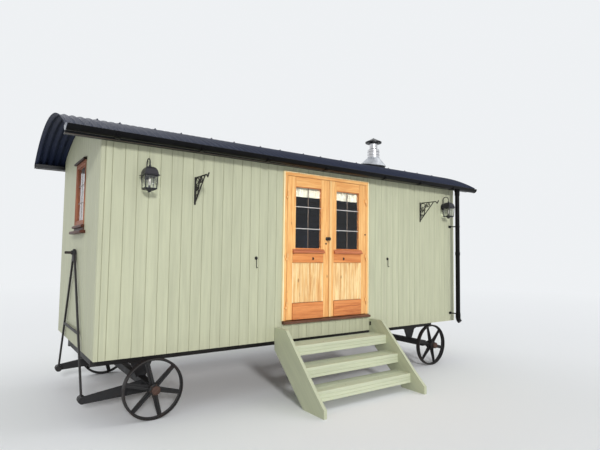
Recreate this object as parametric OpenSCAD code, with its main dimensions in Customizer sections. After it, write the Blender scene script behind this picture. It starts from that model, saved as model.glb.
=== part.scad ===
// Shepherds hut on iron wheels: boarded body, arched corrugated roof, glazed double doors,
// steps, flue, gutters and a tow bar folded up against the left end.
// Millimetres. X runs along the body, the doors face -Y, Z is up and the ground is Z = 0.

/* [Body] */
// Length of the boarded body
body_l = 5500; // [5200:50:6000]
// Width of the boarded body
body_w = 2150; // [2100:10:2200]
// Height of the lower edge of the cladding above the ground
clad_z = 640; // [630:5:660]
// Thickness of a boarded wall
wall_t = 90; // [70:5:100]
// Height of the finished floor above the ground
floor_z = 850; // [845:1:855]

/* [Roof] */
// Outer radius of the arch, at the crests of the sheet
roof_r = 2451; // [2400:1:2500]
// Height of the crown above the ground
crown_z = 3162; // [3150:1:3180]
// Half the width of the roof sheet
roof_half = 1249; // [1240:1:1256]
// How far the sheet runs past each end wall
roof_over = 350; // [300:10:400]
// Number of corrugations along the roof
waves = 81; // [60:1:90]
// Depth of a corrugation
wave_d = 19; // [14:1:24]
// Thickness of the arched timber shell
shell_t = 60; // [40:5:80]
// Radius of a gutter
gutter_r = 52; // [45:1:56]
// Radius of a downpipe
pipe_r = 34; // [30:1:36]

/* [Doors] */
// Middle of the double doors along the body
door_x = 85; // [0:5:150]
// Outer width of the door frame
frame_w = 1416; // [1400:2:1440]
// Height of the top of the door frame
frame_top = 2707; // [2690:1:2715]
// Width of a jamb and of the head
jamb = 45; // [40:1:50]
// Thickness of a leaf
leaf_t = 44; // [40:1:48]
// Clearance of a leaf to the frame
leaf_gap = 5; // [5:0.5:8]
// How far a hinge's axis stands in front of a leaf
knuckle = 14; // [13:0.5:18]

/* [Steps] */
// Middle of the steps along the body
steps_x = 75; // [0:5:150]
// Clear width between the stringers
steps_w = 1520; // [1480:10:1560]
// Rise from one tread to the next
rise = 208; // [200:1:210]
// Going from one tread to the next
going = 210; // [205:1:215]
// Thickness of a stringer
stringer_t = 40; // [30:1:45]

/* [Wheels] */
// Radius of a wheel
wheel_r = 305; // [290:1:306]
// Distance of an axle from the middle of the body
axle_x = 2165; // [2100:5:2200]
// Distance of a wheel's middle from the centre line
track_half = 1065; // [1050:5:1080]
// Width of a wheel's rim
rim_w = 66; // [60:2:80]
// Number of spokes in a wheel
spokes = 6; // [5:1:8]

/* [Tow bar] */
// Height of the tow bar's hinge
bar_z = 216; // [200:2:240]
// Distance of the tow bar's plane from the end wall
bar_gap = 24; // [24:1:40]
// Half the width of the tow bar at its hinge
bar_half = 735; // [700:5:760]
// Height of the tow bar's top
bar_top = 1712; // [1600:4:1760]
// Thickness of the tow bar's legs
bar_t = 32; // [26:1:34]

/* [Hidden] */
$fn = 48;
half_l = body_l / 2;
half_w = body_w / 2;

// Clearance of a bore on its pin or journal
fit = 0.05;

// Roof: the arch's axis, the shell under the sheet, and the line of the fascia and gutter
arch_z = crown_z - roof_r;
shell_out = roof_r - wave_d - 6;
shell_in = shell_out - shell_t;
roof_l = body_l + 2 * roof_over;
pitch = roof_l / waves;
sheet_t = 3;
fascia_y = 1151;
fascia_t = 20;
fascia_bot = 2740;
fascia_top = 2830;
soffit_z = 2756;
soffit_t = 15;
strap_t = 3;
gutter_y = fascia_y + fascia_t + 7 + gutter_r;
gutter_top = 2797;
outlet_z = gutter_top - gutter_r - 24;

// The body stands off the middle of the box, because the steps reach further than the back gutter
toe = 960;
front_y = half_w + toe;
back_y = gutter_y + gutter_r + strap_t;
shift_y = (front_y - back_y) / 2;

// Doors, in heights and in distances along the body
sill_top = floor_z + 20;
leaf_bot = sill_top + leaf_gap + 1;
leaf_top = frame_top - jamb - leaf_gap;
leaf_w = frame_w / 2 - jamb - leaf_gap - 3;
leaf_y = -half_w - 14;
edge_l = door_x - frame_w / 2 + jamb + leaf_gap;
edge_r = door_x + frame_w / 2 - jamb - leaf_gap;
hinge_zs = [leaf_bot + 170, 1640, leaf_top - 250];
pin_r = 4.5;
panel_bot = 1080;
panel_top = 1575;
glass_bot = 1749;
glass_top = 2538;
glass_w = 376;
panel_w = 486;

// Left window
win_y = -110;
win_w = 520;
win_bot = 1975;
win_top = 2690;
win_frame = 70;

// Undercarriage and tow bar
rail_y = 655;
rail_bot = 500;
axle_r = 28;
bar_pin_r = 16;
bar_x = -half_l - bar_gap;
bar_apex = 26;
head_r = 44;
bar_head = bar_top - head_r;
arm_y = bar_half + 52;

// Flue and fittings
flue_x = 1557;
flue_y = -412;
flue_r = 94;
spigot_r = 64;
hood_r = 201;
lamp_xs = [-2310, 2466];
lamp_reach = 112;
lamp_y = -half_w - lamp_reach;
lamp_z = 2318;
bracket_xs = [-1780, 1912];
hook_xs = [-1000, 1192];

iron = [0.09, 0.09, 0.1];
sage = [0.66, 0.7, 0.59];
oiled = [0.86, 0.57, 0.3];
black = [0.05, 0.05, 0.055];
clear = [0.75, 0.85, 0.9, 0.35];

// Everything is drawn about the middle of the body and moved here, so that the box is centred
module hut() {
  translate([0, shift_y, 0]) children();
}

// The same piece on the front and on the back
module both_sides() {
  children();
  mirror([0, 1, 0]) children();
}

// A box given by its two corners
module box(a, b) {
  translate(a) cube(b - a);
}

// A round bar along X
module rod_x(a, r, l) {
  translate(a) rotate([0, 90, 0]) cylinder(h = l, r = r);
}

// A round bar along Y
module rod_y(a, r, l) {
  translate(a) rotate([-90, 0, 0]) cylinder(h = l, r = r);
}

// A section drawn in Y and Z, run along X for a length l
module run_x(l) {
  rotate([90, 0, 90]) linear_extrude(height = l) children();
}

// A section drawn in X and Z, run along Y for a length l
module run_y(l) {
  translate([0, l, 0]) rotate([90, 0, 0]) linear_extrude(height = l) children();
}

// A round bar that starts at the origin, going down, and turns towards +Y
module bend(r, turn_r, a) {
  translate([0, turn_r, 0]) rotate([0, 90, 0]) rotate([0, 0, -90])
    rotate_extrude(angle = a) translate([turn_r, 0]) circle(r = r);
}

// The solid under the arch with radius r
module under_arch(r, l) {
  rod_x([-l / 2, 0, arch_z], r, l, $fn = 180);
}

// Section of a rolled channel, with its web on the vertical axis
module channel(h, w, web, flange) {
  polygon([[0, 0], [w, 0], [w, flange], [web, flange], [web, h - flange], [w, h - flange], [w, h], [0, h]]);
}

/* Undercarriage */

module chassis_frame() {
  color(iron) hut() {
    both_sides() translate([-half_l + 60, -rail_y, rail_bot])
      run_x(body_l - 120) channel(clad_z - rail_bot, 60, 8, 10);
    for (x = [-half_l + 60, -1100, 0, 1100, half_l - 110]) {
      translate([x, -rail_y + 7, rail_bot + 20])
        run_y(2 * rail_y - 14) channel(clad_z - rail_bot - 40, 50, 7, 9);
    }
  }
}

// A beam with a turned journal and a collar for each wheel, hung from the rails by two gussets
module axle(x) {
  rod_y([x, -track_half - 90, wheel_r], axle_r, 2 * track_half + 180);
  box([x - 40, -940, wheel_r - 40], [x + 40, 940, wheel_r + 40]);
  both_sides() {
    rod_y([x, -track_half - 90, wheel_r], 40, 10);
    translate([x, -rail_y + 12, 0]) run_y(24)
      polygon([[-50, wheel_r + 30], [50, wheel_r + 30], [120, rail_bot], [-120, rail_bot]]);
    box([x - 130, -rail_y, rail_bot - 12], [x + 130, -rail_y + 60, rail_bot]);
  }
}

// The front axle carries the two arms and the pins that the tow bar hinges on
module front_axle() {
  color(iron) hut() {
    axle(-axle_x);
    both_sides() {
      rod_y([bar_x, -arm_y - 10, bar_z], 36, 20);
      translate([0, -arm_y - 10, 0]) run_y(20) polygon([
        [bar_x, bar_z - 36], [-axle_x + 40, bar_z - 10], [-axle_x + 40, wheel_r + 40], [bar_x, bar_z + 36]
      ]);
      rod_y([bar_x, -arm_y - 18, bar_z], bar_pin_r, 118);
      rod_y([bar_x, -arm_y + 92, bar_z], 24, 8);
    }
  }
}

module rear_axle() {
  color(iron) hut() axle(axle_x);
}

// Half section of a wheel's rim: a flat tread with rolled edges and a rib inside it
module rim_section() {
  w = rim_w / 2;
  polygon([
    [wheel_r, -w + 4], [wheel_r, w - 4], [wheel_r - 4, w], [wheel_r - 12, w], [wheel_r - 14, w - 8],
    [wheel_r - 14, 10], [wheel_r - 26, 7], [wheel_r - 26, -7], [wheel_r - 14, -10],
    [wheel_r - 14, -w + 8], [wheel_r - 12, -w], [wheel_r - 4, -w]
  ]);
}

// Half section of a hub: a barrel with a raised band at each end, bored for the axle
module hub_section() {
  bore = axle_r + fit;
  polygon([
    [bore, -74], [42, -74], [46, -70], [46, -56], [54, -52], [58, -40], [58, 40], [54, 52],
    [46, 56], [46, 70], [42, 74], [bore, 74]
  ]);
}

// A spoke along +X: a flat that narrows towards the rim, with a tapered rib down its middle.
// Both run from inside the hub into the rim's ring, as they are cast.
module spoke() {
  from = 50;
  to = wheel_r - 7;
  translate([0, 0, -5]) linear_extrude(height = 10)
    polygon([[from, -27], [to, -22], [to, 22], [from, 27]]);
  translate([0, -5, 0]) run_y(10)
    polygon([[from, -34], [to, -17], [to, 17], [from, 34]]);
}

// A cast wheel about its own middle, its axle along Y
module cast_wheel() {
  rotate([-90, 0, 0]) {
    rotate_extrude($fn = 96) rim_section();
    rotate_extrude() hub_section();
    for (k = [0 : spokes - 1]) {
      rotate([0, 0, 360 / spokes * k - 45]) spoke();
    }
  }
}

module wheel_at(x, y) {
  color(iron) hut() translate([x, y, wheel_r]) cast_wheel();
}

module wheel_front_near() {
  wheel_at(-axle_x, -track_half);
}

module wheel_front_far() {
  wheel_at(-axle_x, track_half);
}

module wheel_rear_near() {
  wheel_at(axle_x, -track_half);
}

module wheel_rear_far() {
  wheel_at(axle_x, track_half);
}

/* Floor and walls */

module floor_deck() {
  color([0.62, 0.47, 0.3]) hut()
    box([-half_l + wall_t, -half_w + wall_t, clad_z], [half_l - wall_t, half_w - wall_t, floor_z]);
}

// A stretch of the front wall, its top cut to the arch
module side_wall(x0, x1, z0, z1) {
  color(sage) intersection() {
    box([x0, -half_w, z0], [x1, -half_w + wall_t, z1]);
    under_arch(shell_in, roof_l);
  }
}

module front_wall_left() {
  hut() side_wall(-half_l + wall_t, door_x - frame_w / 2, clad_z, crown_z);
}

module front_wall_right() {
  hut() side_wall(door_x + frame_w / 2, half_l - wall_t, clad_z, crown_z);
}

module front_wall_over_door() {
  hut() side_wall(door_x - frame_w / 2, door_x + frame_w / 2, frame_top, crown_z);
}

module front_wall_under_door() {
  hut() side_wall(door_x - frame_w / 2, door_x + frame_w / 2, clad_z, floor_z - 18);
}

module back_wall() {
  hut() mirror([0, 1, 0]) side_wall(-half_l + wall_t, half_l - wall_t, clad_z, crown_z);
}

// An end wall with its top cut to the arch, x0 being its lower face along X
module end_wall(x0) {
  color(sage) intersection() {
    box([x0, -half_w, clad_z], [x0 + wall_t, half_w, crown_z]);
    under_arch(shell_out, roof_l);
  }
}

module left_end_wall() {
  hut() difference() {
    end_wall(-half_l);
    box([-half_l - 1, win_y - win_w / 2, win_bot], [-half_l + wall_t + 1, win_y + win_w / 2, win_top]);
  }
}

module right_end_wall() {
  hut() end_wall(half_l - wall_t);
}

/* Roof */

module roof_shell() {
  color([0.78, 0.66, 0.48]) hut() intersection() {
    difference() {
      under_arch(shell_out, body_l - 2 * wall_t);
      under_arch(shell_in, body_l);
    }
    box([-half_l, -fascia_y, arch_z], [half_l, fascia_y, crown_z]);
  }
}

// The sheet's section along the roof: a cosine wave on each face, six points to a corrugation
module sheet_section() {
  n = 6 * waves;
  outer = [for (k = [0 : n]) [roof_r - wave_d * (1 - cos(60 * k)) / 2, k * pitch / 6 - roof_l / 2]];
  inner = [for (k = [0 : n]) outer[n - k] - [sheet_t, 0]];
  polygon(concat(outer, inner));
}

// The section turned about the arch's axis gives the whole curved sheet
module roof_sheet() {
  half_a = asin(roof_half / roof_r);
  color([0.16, 0.19, 0.25]) hut() translate([0, 0, arch_z]) rotate([0, 90, 0])
    rotate([0, 0, 180 - half_a]) rotate_extrude(angle = 2 * half_a, $fn = 180) sheet_section();
}

// Fascia boards as long as the sheet, and soffits between them and the walls
module eaves() {
  color(sage) hut() both_sides() {
    box([-roof_l / 2 + 12, -fascia_y - fascia_t, fascia_bot], [roof_l / 2 - 12, -fascia_y, fascia_top]);
    box([-half_l, -fascia_y, soffit_z], [half_l, -half_w, soffit_z + soffit_t]);
  }
}

// A half-round gutter with stopped ends, a bead along its lip, straps and an outlet
module gutter() {
  l = roof_l - 30;
  wall = 4;
  bead_r = 5;
  strap_w = 30;
  first_strap = 200;
  fascia_face = fascia_y + fascia_t;
  difference() {
    union() {
      rod_x([-l / 2, -gutter_y, gutter_top], gutter_r, l);
      for (x = [-l / 2 + first_strap : (l - 2 * first_strap - strap_w) / 7 : l / 2 - first_strap]) {
        rod_x([x, -gutter_y, gutter_top], gutter_r + strap_t, strap_w);
        box([x, -fascia_face - 20, gutter_top - 24], [x + strap_w, -fascia_face, gutter_top]);
      }
      translate([half_l - pipe_r, -gutter_y, outlet_z]) cylinder(h = 60, r = pipe_r + 5);
    }
    rod_x([-l / 2 + wall, -gutter_y, gutter_top], gutter_r - wall, l - 2 * wall);
    box([-roof_l / 2, -gutter_y - 80, gutter_top], [roof_l / 2, -gutter_y + 80, gutter_top + 80]);
  }
  rod_x([-l / 2, -gutter_y - gutter_r - strap_t + bead_r, gutter_top - 4], bead_r, l);
}

module gutters() {
  color(black) hut() both_sides() gutter();
}

// Rainwater pipe: a neck back to the wall between two elbows, clips, and an open shoe.
// Every joint between a bend and a pipe is covered by a socket.
module downpipe() {
  turn_r = 60;
  a = 45;
  shoe_a = 40;
  socket = 4;
  wall_gap = 52;
  reach = gutter_y - half_w - wall_gap;
  neck = (reach - 2 * turn_r * (1 - cos(a))) / sin(a);
  drop = 2 * turn_r * sin(a) + neck * cos(a);
  shoe_z = clad_z + 10;
  translate([half_l - pipe_r, -gutter_y, outlet_z]) {
    translate([0, 0, -26]) cylinder(h = 26, r = pipe_r + socket);
    bend(pipe_r, turn_r, a);
    translate([0, turn_r * (1 - cos(a)), -turn_r * sin(a)]) rotate([a, 0, 0])
      translate([0, 0, -neck - 10]) cylinder(h = neck + 20, r = pipe_r + 2);
    translate([0, reach, -drop]) rotate([180, 0, 0]) bend(pipe_r, turn_r, a);
  }
  translate([half_l - pipe_r, -half_w - wall_gap, 0]) {
    translate([0, 0, outlet_z - drop - 20]) cylinder(h = 40, r = pipe_r + socket);
    translate([0, 0, shoe_z]) cylinder(h = outlet_z - drop - shoe_z, r = pipe_r);
    for (z = [shoe_z + 50, 1500, 2300]) {
      translate([0, 0, z]) cylinder(h = 30, r = pipe_r + socket);
      box([-20, 0, z], [20, wall_gap, z + 30]);
    }
    translate([0, 0, shoe_z - 16]) cylinder(h = 32, r = pipe_r + socket);
    translate([0, 0, shoe_z]) mirror([0, 1, 0]) {
      bend(pipe_r, turn_r, shoe_a);
      translate([0, turn_r * (1 - cos(shoe_a)), -turn_r * sin(shoe_a)]) rotate([shoe_a, 0, 0]) difference() {
        translate([0, 0, -46]) cylinder(h = 56, r = pipe_r + socket);
        translate([0, 0, -47]) cylinder(h = 40, r = pipe_r - 3);
      }
    }
  }
}

module downpipes() {
  color(black) hut() both_sides() downpipe();
}

// Lays a flue piece on the roof's slope at the flue, its own Z = 0 on the crests of the sheet
module on_slope() {
  slope = asin(flue_y / roof_r);
  translate([0, 0, arch_z + roof_r * cos(slope)]) rotate([-slope, 0, 0]) children();
}

// A hood whose hem lies along the roof's slope and whose neck is level, on a seal
module flue_flashing() {
  neck_z = 3254;
  seal_h = 24;
  color([0.72, 0.73, 0.75]) hut() difference() {
    translate([flue_x, flue_y, 0]) union() {
      hull() {
        on_slope() translate([0, 0, seal_h]) cylinder(h = 6, r = hood_r, $fn = 64);
        translate([0, 0, neck_z]) cylinder(h = 6, r = flue_r + 9, $fn = 64);
      }
      on_slope() translate([0, 0, -16]) cylinder(h = seal_h + 22, r = hood_r - 12);
      translate([0, 0, neck_z + 1]) cylinder(h = 17, r = flue_r + 6);
    }
    translate([flue_x, flue_y, 3040]) cylinder(h = 300, r = flue_r + 1);
    under_arch(roof_r + 0.3, roof_l);
  }
}

// A twin-wall pipe with locking bands, narrowing to the spigot that holds the cap
module flue_pipe() {
  color([0.75, 0.75, 0.77]) hut() difference() {
    translate([flue_x, flue_y, 0]) rotate_extrude() polygon([
      [0, 3060], [flue_r, 3060], [flue_r, 3306], [flue_r + 4, 3310], [flue_r + 4, 3324], [flue_r, 3328],
      [flue_r, 3356], [flue_r + 4, 3360], [flue_r + 4, 3372], [flue_r, 3376], [flue_r, 3398],
      [flue_r - 8, 3408], [spigot_r, 3414], [spigot_r, 3500], [0, 3500]
    ]);
    under_arch(roof_r + 0.3, roof_l);
  }
}

// A brimmed cap: a flat ring with a rain cone on it
module flue_cap() {
  color(black) hut() translate([flue_x, flue_y, 0]) rotate_extrude($fn = 72) polygon([
    [0, 3500], [spigot_r + 8, 3500], [spigot_r + 8, 3508], [128, 3510], [132, 3514], [132, 3530],
    [122, 3536], [14, 3590], [8, 3596], [0, 3596]
  ]);
}

/* Openings */

// Casement frame, double sill and hood of the window in the left end wall
module left_window_frame() {
  proud = 18;
  w = win_w / 2;
  inner = w - win_frame;
  h0 = win_bot + win_frame;
  h1 = win_top - win_frame;
  rebate = 32;
  sill_z = win_bot - 95;
  color([0.78, 0.52, 0.28]) hut() translate([-half_l, win_y, 0]) {
    difference() {
      box([-proud, -w, win_bot], [wall_t, w, win_top]);
      box([-proud - 1, -inner, h0], [wall_t + 1, inner, h1]);
      box([14, -inner - rebate, h0 - rebate], [wall_t + 1, inner + rebate, h1 + rebate]);
    }
    translate([0, -w - 14, 0]) run_y(win_w + 28) polygon([
      [0, win_bot - 30], [-32, win_bot - 30], [-36, win_bot - 24], [-34, win_bot - 6], [-proud, win_bot + 6],
      [-proud + 2, win_bot + 6], [-proud + 2, win_bot], [0, win_bot]
    ]);
    box([-14, -w - 6, sill_z + 34], [0, w + 6, win_bot - 29]);
    difference() {
      translate([0, -w - 86, 0]) run_y(win_w + 172) polygon([
        [0, sill_z], [-46, sill_z], [-54, sill_z + 8], [-54, sill_z + 26],
        [-48, sill_z + 32], [0, sill_z + 36]
      ]);
      for (m = [0, 1]) {
        mirror([0, m, 0]) translate([-55, w + 62, sill_z - 1]) difference() {
          cube([30, 30, 60]);
          translate([24, 0, -1]) cylinder(h = 62, r = 24);
        }
      }
    }
    translate([0, -w - 18, 0]) run_y(win_w + 36) polygon([
      [0, win_top - 1], [-proud - 22, win_top - 1], [-proud - 24, win_top + 26], [0, win_top + 54]
    ]);
  }
}

module left_window_glass() {
  seat = 24;
  inner = win_w / 2 - win_frame + seat;
  color(clear) hut() translate([-half_l, win_y, 0])
    box([14, -inner, win_bot + win_frame - seat], [20, inner, win_top - win_frame + seat]);
}

// Jambs and head with a rebate that the leaves close into
module door_frame() {
  x0 = door_x - frame_w / 2;
  front = -14;
  rebate = leaf_t - 9;
  stop = jamb + 15;
  color(oiled) hut() translate([0, -half_w, 0]) {
    for (s = [0, 1]) {
      translate([s * 2 * door_x, 0, sill_top]) mirror([s, 0, 0])
        linear_extrude(height = frame_top - stop - sill_top) polygon([
          [x0, front], [x0 + jamb, front], [x0 + jamb, rebate],
          [x0 + stop, rebate], [x0 + stop, wall_t], [x0, wall_t]
        ]);
    }
    translate([x0, 0, frame_top]) run_x(frame_w) polygon([
      [front, 0], [front, -jamb], [rebate, -jamb], [rebate, -stop], [wall_t, -stop], [wall_t, 0]
    ]);
    for (x = [x0, door_x + frame_w / 2 - jamb]) {
      box([x, front, frame_top - stop], [x + jamb, rebate, frame_top - jamb]);
    }
  }
}

// A weathered sill with a sloping nose in front of the wall
module threshold() {
  color([0.36, 0.2, 0.12]) hut() translate([door_x - frame_w / 2, -half_w, 0]) run_x(frame_w) polygon([
    [wall_t, floor_z - 18], [-60, floor_z - 18], [-70, floor_z - 12], [-70, floor_z + 6],
    [-64, floor_z + 12], [-14, sill_top], [wall_t, sill_top]
  ]);
}

// A leaf: x = 0 at its hinge edge, x = leaf_w at its meeting edge, y = 0 at its outer face.
// The meeting edge is planed back inside, so that the leaves pass each other.
// Below the glass a drip rail sheds the rain, and a kick board covers the bottom rail.
module leaf() {
  sunk = 12;
  gx = (leaf_w - glass_w) / 2;
  px = (leaf_w - panel_w) / 2;
  difference() {
    translate([0, 0, leaf_bot]) linear_extrude(height = leaf_top - leaf_bot)
      polygon([[0, 0], [leaf_w, 0], [leaf_w - 3, leaf_t], [0, leaf_t]]);
    box([gx, -1, glass_bot], [gx + glass_w, leaf_t + 1, glass_top]);
    box([gx - 10, 16, glass_bot - 10], [gx + glass_w + 10, leaf_t + 1, glass_top + 10]);
    box([px, -1, panel_bot], [px + panel_w, sunk, panel_top]);
    box([px, leaf_t - sunk, panel_bot], [px + panel_w, leaf_t + 1, panel_top]);
  }
  translate([px, 0, glass_bot]) run_x(panel_w) polygon([
    [0, 0], [-6, -3], [-30, -33], [-35, -41], [-35, -51], [0, -55]
  ]);
  translate([px, 0, 0]) run_x(panel_w)
    polygon([[0, leaf_bot], [-12, leaf_bot], [-12, panel_bot - 12], [0, panel_bot]]);
}

// Putty-fixed pane in a leaf's inner rebate
module leaf_glass() {
  gx = (leaf_w - glass_w) / 2;
  box([gx - 8, 16, glass_bot - 8], [gx + glass_w + 8, 22, glass_top + 8]);
}

// Moving halves of a leaf's hinges: knuckles bored for the pins, with their straps
module leaf_hinges() {
  x = -leaf_gap / 2;
  for (z = hinge_zs) {
    difference() {
      union() {
        translate([x, -knuckle, z]) cylinder(h = 50, r = 8);
        box([x, -knuckle - 3, z + 2], [20, -knuckle + 3, z + 48]);
        box([8, -knuckle, z + 2], [20, 0, z + 48]);
      }
      translate([x, -knuckle, z - 1]) cylinder(h = 52, r = pin_r + fit);
    }
  }
}

// Fixed halves of a leaf's hinges on the jamb, each with its pin
module jamb_hinges() {
  x = -leaf_gap / 2;
  for (z = hinge_zs) {
    translate([x, -knuckle, z - 32]) cylinder(h = 87, r = pin_r);
    translate([x, -knuckle, z - 35]) cylinder(h = 30, r = 8);
    box([-26, -knuckle - 3, z - 33], [x, -knuckle + 3, z - 7]);
    box([-26, -knuckle, z - 33], [-14, 0, z - 7]);
  }
}

// Places a leaf's own drawing at the left and at the right hinge line
module at_left() {
  hut() translate([edge_l, leaf_y, 0]) children();
}

module at_right() {
  hut() translate([edge_r, leaf_y, 0]) mirror([1, 0, 0]) children();
}

module hinge_pins() {
  color(iron) {
    at_left() jamb_hinges();
    at_right() jamb_hinges();
  }
}

module door_left() {
  color(oiled) at_left() leaf();
}

module door_left_glass() {
  color(clear) at_left() leaf_glass();
}

module door_left_hinges() {
  color(iron) at_left() leaf_hinges();
}

module door_right() {
  color(oiled) at_right() leaf();
}

module door_right_glass() {
  color(clear) at_right() leaf_glass();
}

module door_right_hinges() {
  color(iron) at_right() leaf_hinges();
}

// A turned knob on its rose, and the keyhole plate below it
module door_knob() {
  knob = [55, 1887];
  keyhole = [38, 1823];
  color(black) hut() {
    translate([knob[0], leaf_y, knob[1]]) rotate([90, 0, 0]) rotate_extrude() polygon([
      [0, 0], [25, 0], [25, 4], [20, 7], [9, 9], [8, 24], [14, 30], [22, 36], [25, 44], [24, 54], [17, 62],
      [8, 65], [0, 66]
    ]);
    translate([keyhole[0], leaf_y, keyhole[1]]) rotate([90, 0, 0]) difference() {
      cylinder(h = 3, r = 12);
      translate([0, 2, 2]) cylinder(h = 2, r = 3.5);
    }
  }
}

// The hooks on the wall that hold the leaves open
module door_hooks() {
  color(iron) hut() for (x = hook_xs) {
    translate([x, -half_w, 1630]) {
      rod_y([0, -5, 0], 20, 5);
      rod_y([0, -22, 0], 6, 20);
      translate([0, -15, -100]) cylinder(h = 98, r = 4);
      translate([0, -15, -100]) mirror([0, 1, 0]) bend(4, 12, 150);
    }
  }
}

/* Steps */

// Outline of a stringer: distance from the wall, and height
module stringer_outline() {
  polygon([[0, 540], [0, 800], [235, 800], [800, 235], [toe - 30, 115], [toe, 90], [toe, 0], [600, 0]]);
}

module stringer(x) {
  color(sage) hut() translate([x, -half_w, 0])
    rotate([90, 0, -90]) linear_extrude(height = stringer_t, center = true) stringer_outline();
}

module step_stringer_left() {
  stringer(steps_x - steps_w / 2 - stringer_t / 2);
}

module step_stringer_right() {
  stringer(steps_x + steps_w / 2 + stringer_t / 2);
}

// A tread board with a deep fascia under its nose, k counted from the top
module tread(k) {
  first_nose = 320;
  fascia_h = 115;
  front = half_w + first_nose + going * (k - 1);
  color(sage) hut() translate([steps_x - steps_w / 2, -front, rise * (4 - k)])
    run_x(steps_w) polygon([
      [0, -fascia_h], [24, -fascia_h], [24, -28], [250, -28], [250, 0], [4, 0], [0, -4]
    ]);
}

module step_tread_top() {
  tread(1);
}

module step_tread_middle() {
  tread(2);
}

module step_tread_bottom() {
  tread(3);
}

/* Tow bar */

// A-shaped bar: two legs with forged eyes, a tie, a round head and the pin that a towing vehicle takes
module tow_bar() {
  spread = bar_half - bar_apex;
  height = bar_head - bar_z;
  a = atan2(spread, height);
  len = sqrt(pow(spread, 2) + pow(height, 2));
  t = bar_t / 2;
  eye_r = 50;
  eye_w = 35;
  tie_z = 815;
  tie_half = bar_half - spread * (tie_z - bar_z) / height;
  color(iron) hut() translate([bar_x, 0, 0]) {
    both_sides() {
      translate([0, -bar_half, bar_z]) rotate([-a, 0, 0]) box([-t, -t, eye_r - 10], [t, t, len]);
      difference() {
        rod_y([0, -bar_half - eye_w, bar_z], eye_r, 2 * eye_w);
        rod_y([0, -bar_half - eye_w - 1, bar_z], bar_pin_r + fit, 2 * eye_w + 2);
      }
    }
    box([-10, -tie_half, tie_z - 20], [10, tie_half, tie_z + 20]);
    rod_x([-18, 0, bar_head], head_r, 36);
    rod_x([-34, 0, bar_head], 26, 20);
    rod_x([-98, 0, bar_head], 15, 66);
  }
}

/* Fittings on the front wall */

// A square solid that widens from w0 to w1 over the height h
module flared(w0, w1, h) {
  outline = [[-w0 / 2, 0], [w0 / 2, 0], [w1 / 2, h], [-w1 / 2, h]];
  intersection() {
    translate([0, -w1, 0]) run_y(2 * w1) polygon(outline);
    translate([-w1, 0, 0]) run_x(2 * w1) polygon(outline);
  }
}

// Outline of a lantern's cap: a brim, a curved crown and a flat top
module cap_outline() {
  crown = [for (a = [0 : 15 : 90]) [14 + 54 * cos(a), 14 + 78 * sin(a)]];
  back = [for (k = [1 : len(crown)]) [-crown[len(crown) - k][0], crown[len(crown) - k][1]]];
  polygon(concat([[-81, 0], [81, 0], [81, 5]], crown, back, [[-81, 5]]));
}

// The windows cut through a lantern's cage
module cage_window(h) {
  translate([-100, 0, 0]) run_x(200) polygon([[-51, 7], [51, 7], [57, h - 7], [-57, h - 7]]);
}

// A square lantern about its own axis: flared cage, domed cap, wall plate and swan-neck arm
module lantern() {
  cage_h = 132;
  w0 = 118;
  w1 = 132;
  wire = 6;
  arm_r = lamp_reach / 2 - 4;
  arm_z = 262;
  plate_z = 156;
  difference() {
    flared(w0, w1, cage_h);
    translate([0, 0, -0.01]) flared(w0 - 10, w1 - 10, cage_h + 0.02);
    cage_window(cage_h);
    rotate([0, 0, 90]) cage_window(cage_h);
  }
  translate([0, 0, -14]) flared(92, w0 + 8, 14);
  translate([0, 0, -36]) cylinder(h = 24, r1 = 10, r2 = 30);
  translate([0, 0, cage_h]) intersection() {
    translate([0, -82, 0]) run_y(164) cap_outline();
    translate([-82, 0, 0]) run_x(164) cap_outline();
  }
  translate([0, 0, cage_h + 86]) cylinder(h = 18, r = 13);
  translate([0, 0, cage_h + 92]) cylinder(h = arm_z - cage_h - 92, r = wire);
  translate([0, 0, arm_z]) rotate([180, 0, 0]) mirror([0, 1, 0]) bend(wire, arm_r, 180);
  translate([0, 2 * arm_r, plate_z]) cylinder(h = arm_z - plate_z, r = wire);
  rod_y([0, lamp_reach - 8, plate_z], 50, 8);
  rod_y([0, 40, plate_z], 9, lamp_reach - 44);
}

// The glass inside a lantern's cage
module lantern_pane() {
  difference() {
    flared(107, 121, 131);
    translate([0, 0, -0.01]) flared(103, 117, 131.02);
  }
}

module lanterns() {
  color([0.12, 0.12, 0.13]) hut() for (x = lamp_xs) {
    translate([x, lamp_y, lamp_z]) lantern();
  }
}

module lantern_glasses() {
  color(clear) hut() for (x = lamp_xs) {
    translate([x, lamp_y, lamp_z]) lantern_pane();
  }
}

// A flat ring standing in the plane of a basket bracket
module scroll_ring(y, z, r, w) {
  difference() {
    rod_x([-5, y, z], r, 10);
    rod_x([-6, y, z], r - w, 12);
  }
}

// A bracket for a hanging basket: wall bar, arm with a hooked tip, strut and scrolls
module basket_bracket() {
  bot = 2204;
  arm = 2501;
  strut_a = 43;
  box([-10, -6, bot], [10, 0, arm + 6]);
  box([-6, -302, arm - 10], [6, -2, arm + 2]);
  translate([-6, 0, arm]) run_x(12) polygon([
    [-296, 2], [-323, -22], [-350, 12], [-357, 6], [-323, -38], [-300, -10]
  ]);
  translate([0, -3, bot + 18]) rotate([strut_a, 0, 0]) box([-5, -5, 0], [5, 5, 368]);
  scroll_ring(-58, arm - 62, 54, 8);
  scroll_ring(-152, arm - 42, 34, 7);
  scroll_ring(-48, arm - 158, 44, 8);
}

module basket_brackets() {
  color(iron) hut() for (x = bracket_xs) {
    translate([x, -half_w, 0]) basket_bracket();
  }
}

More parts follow.
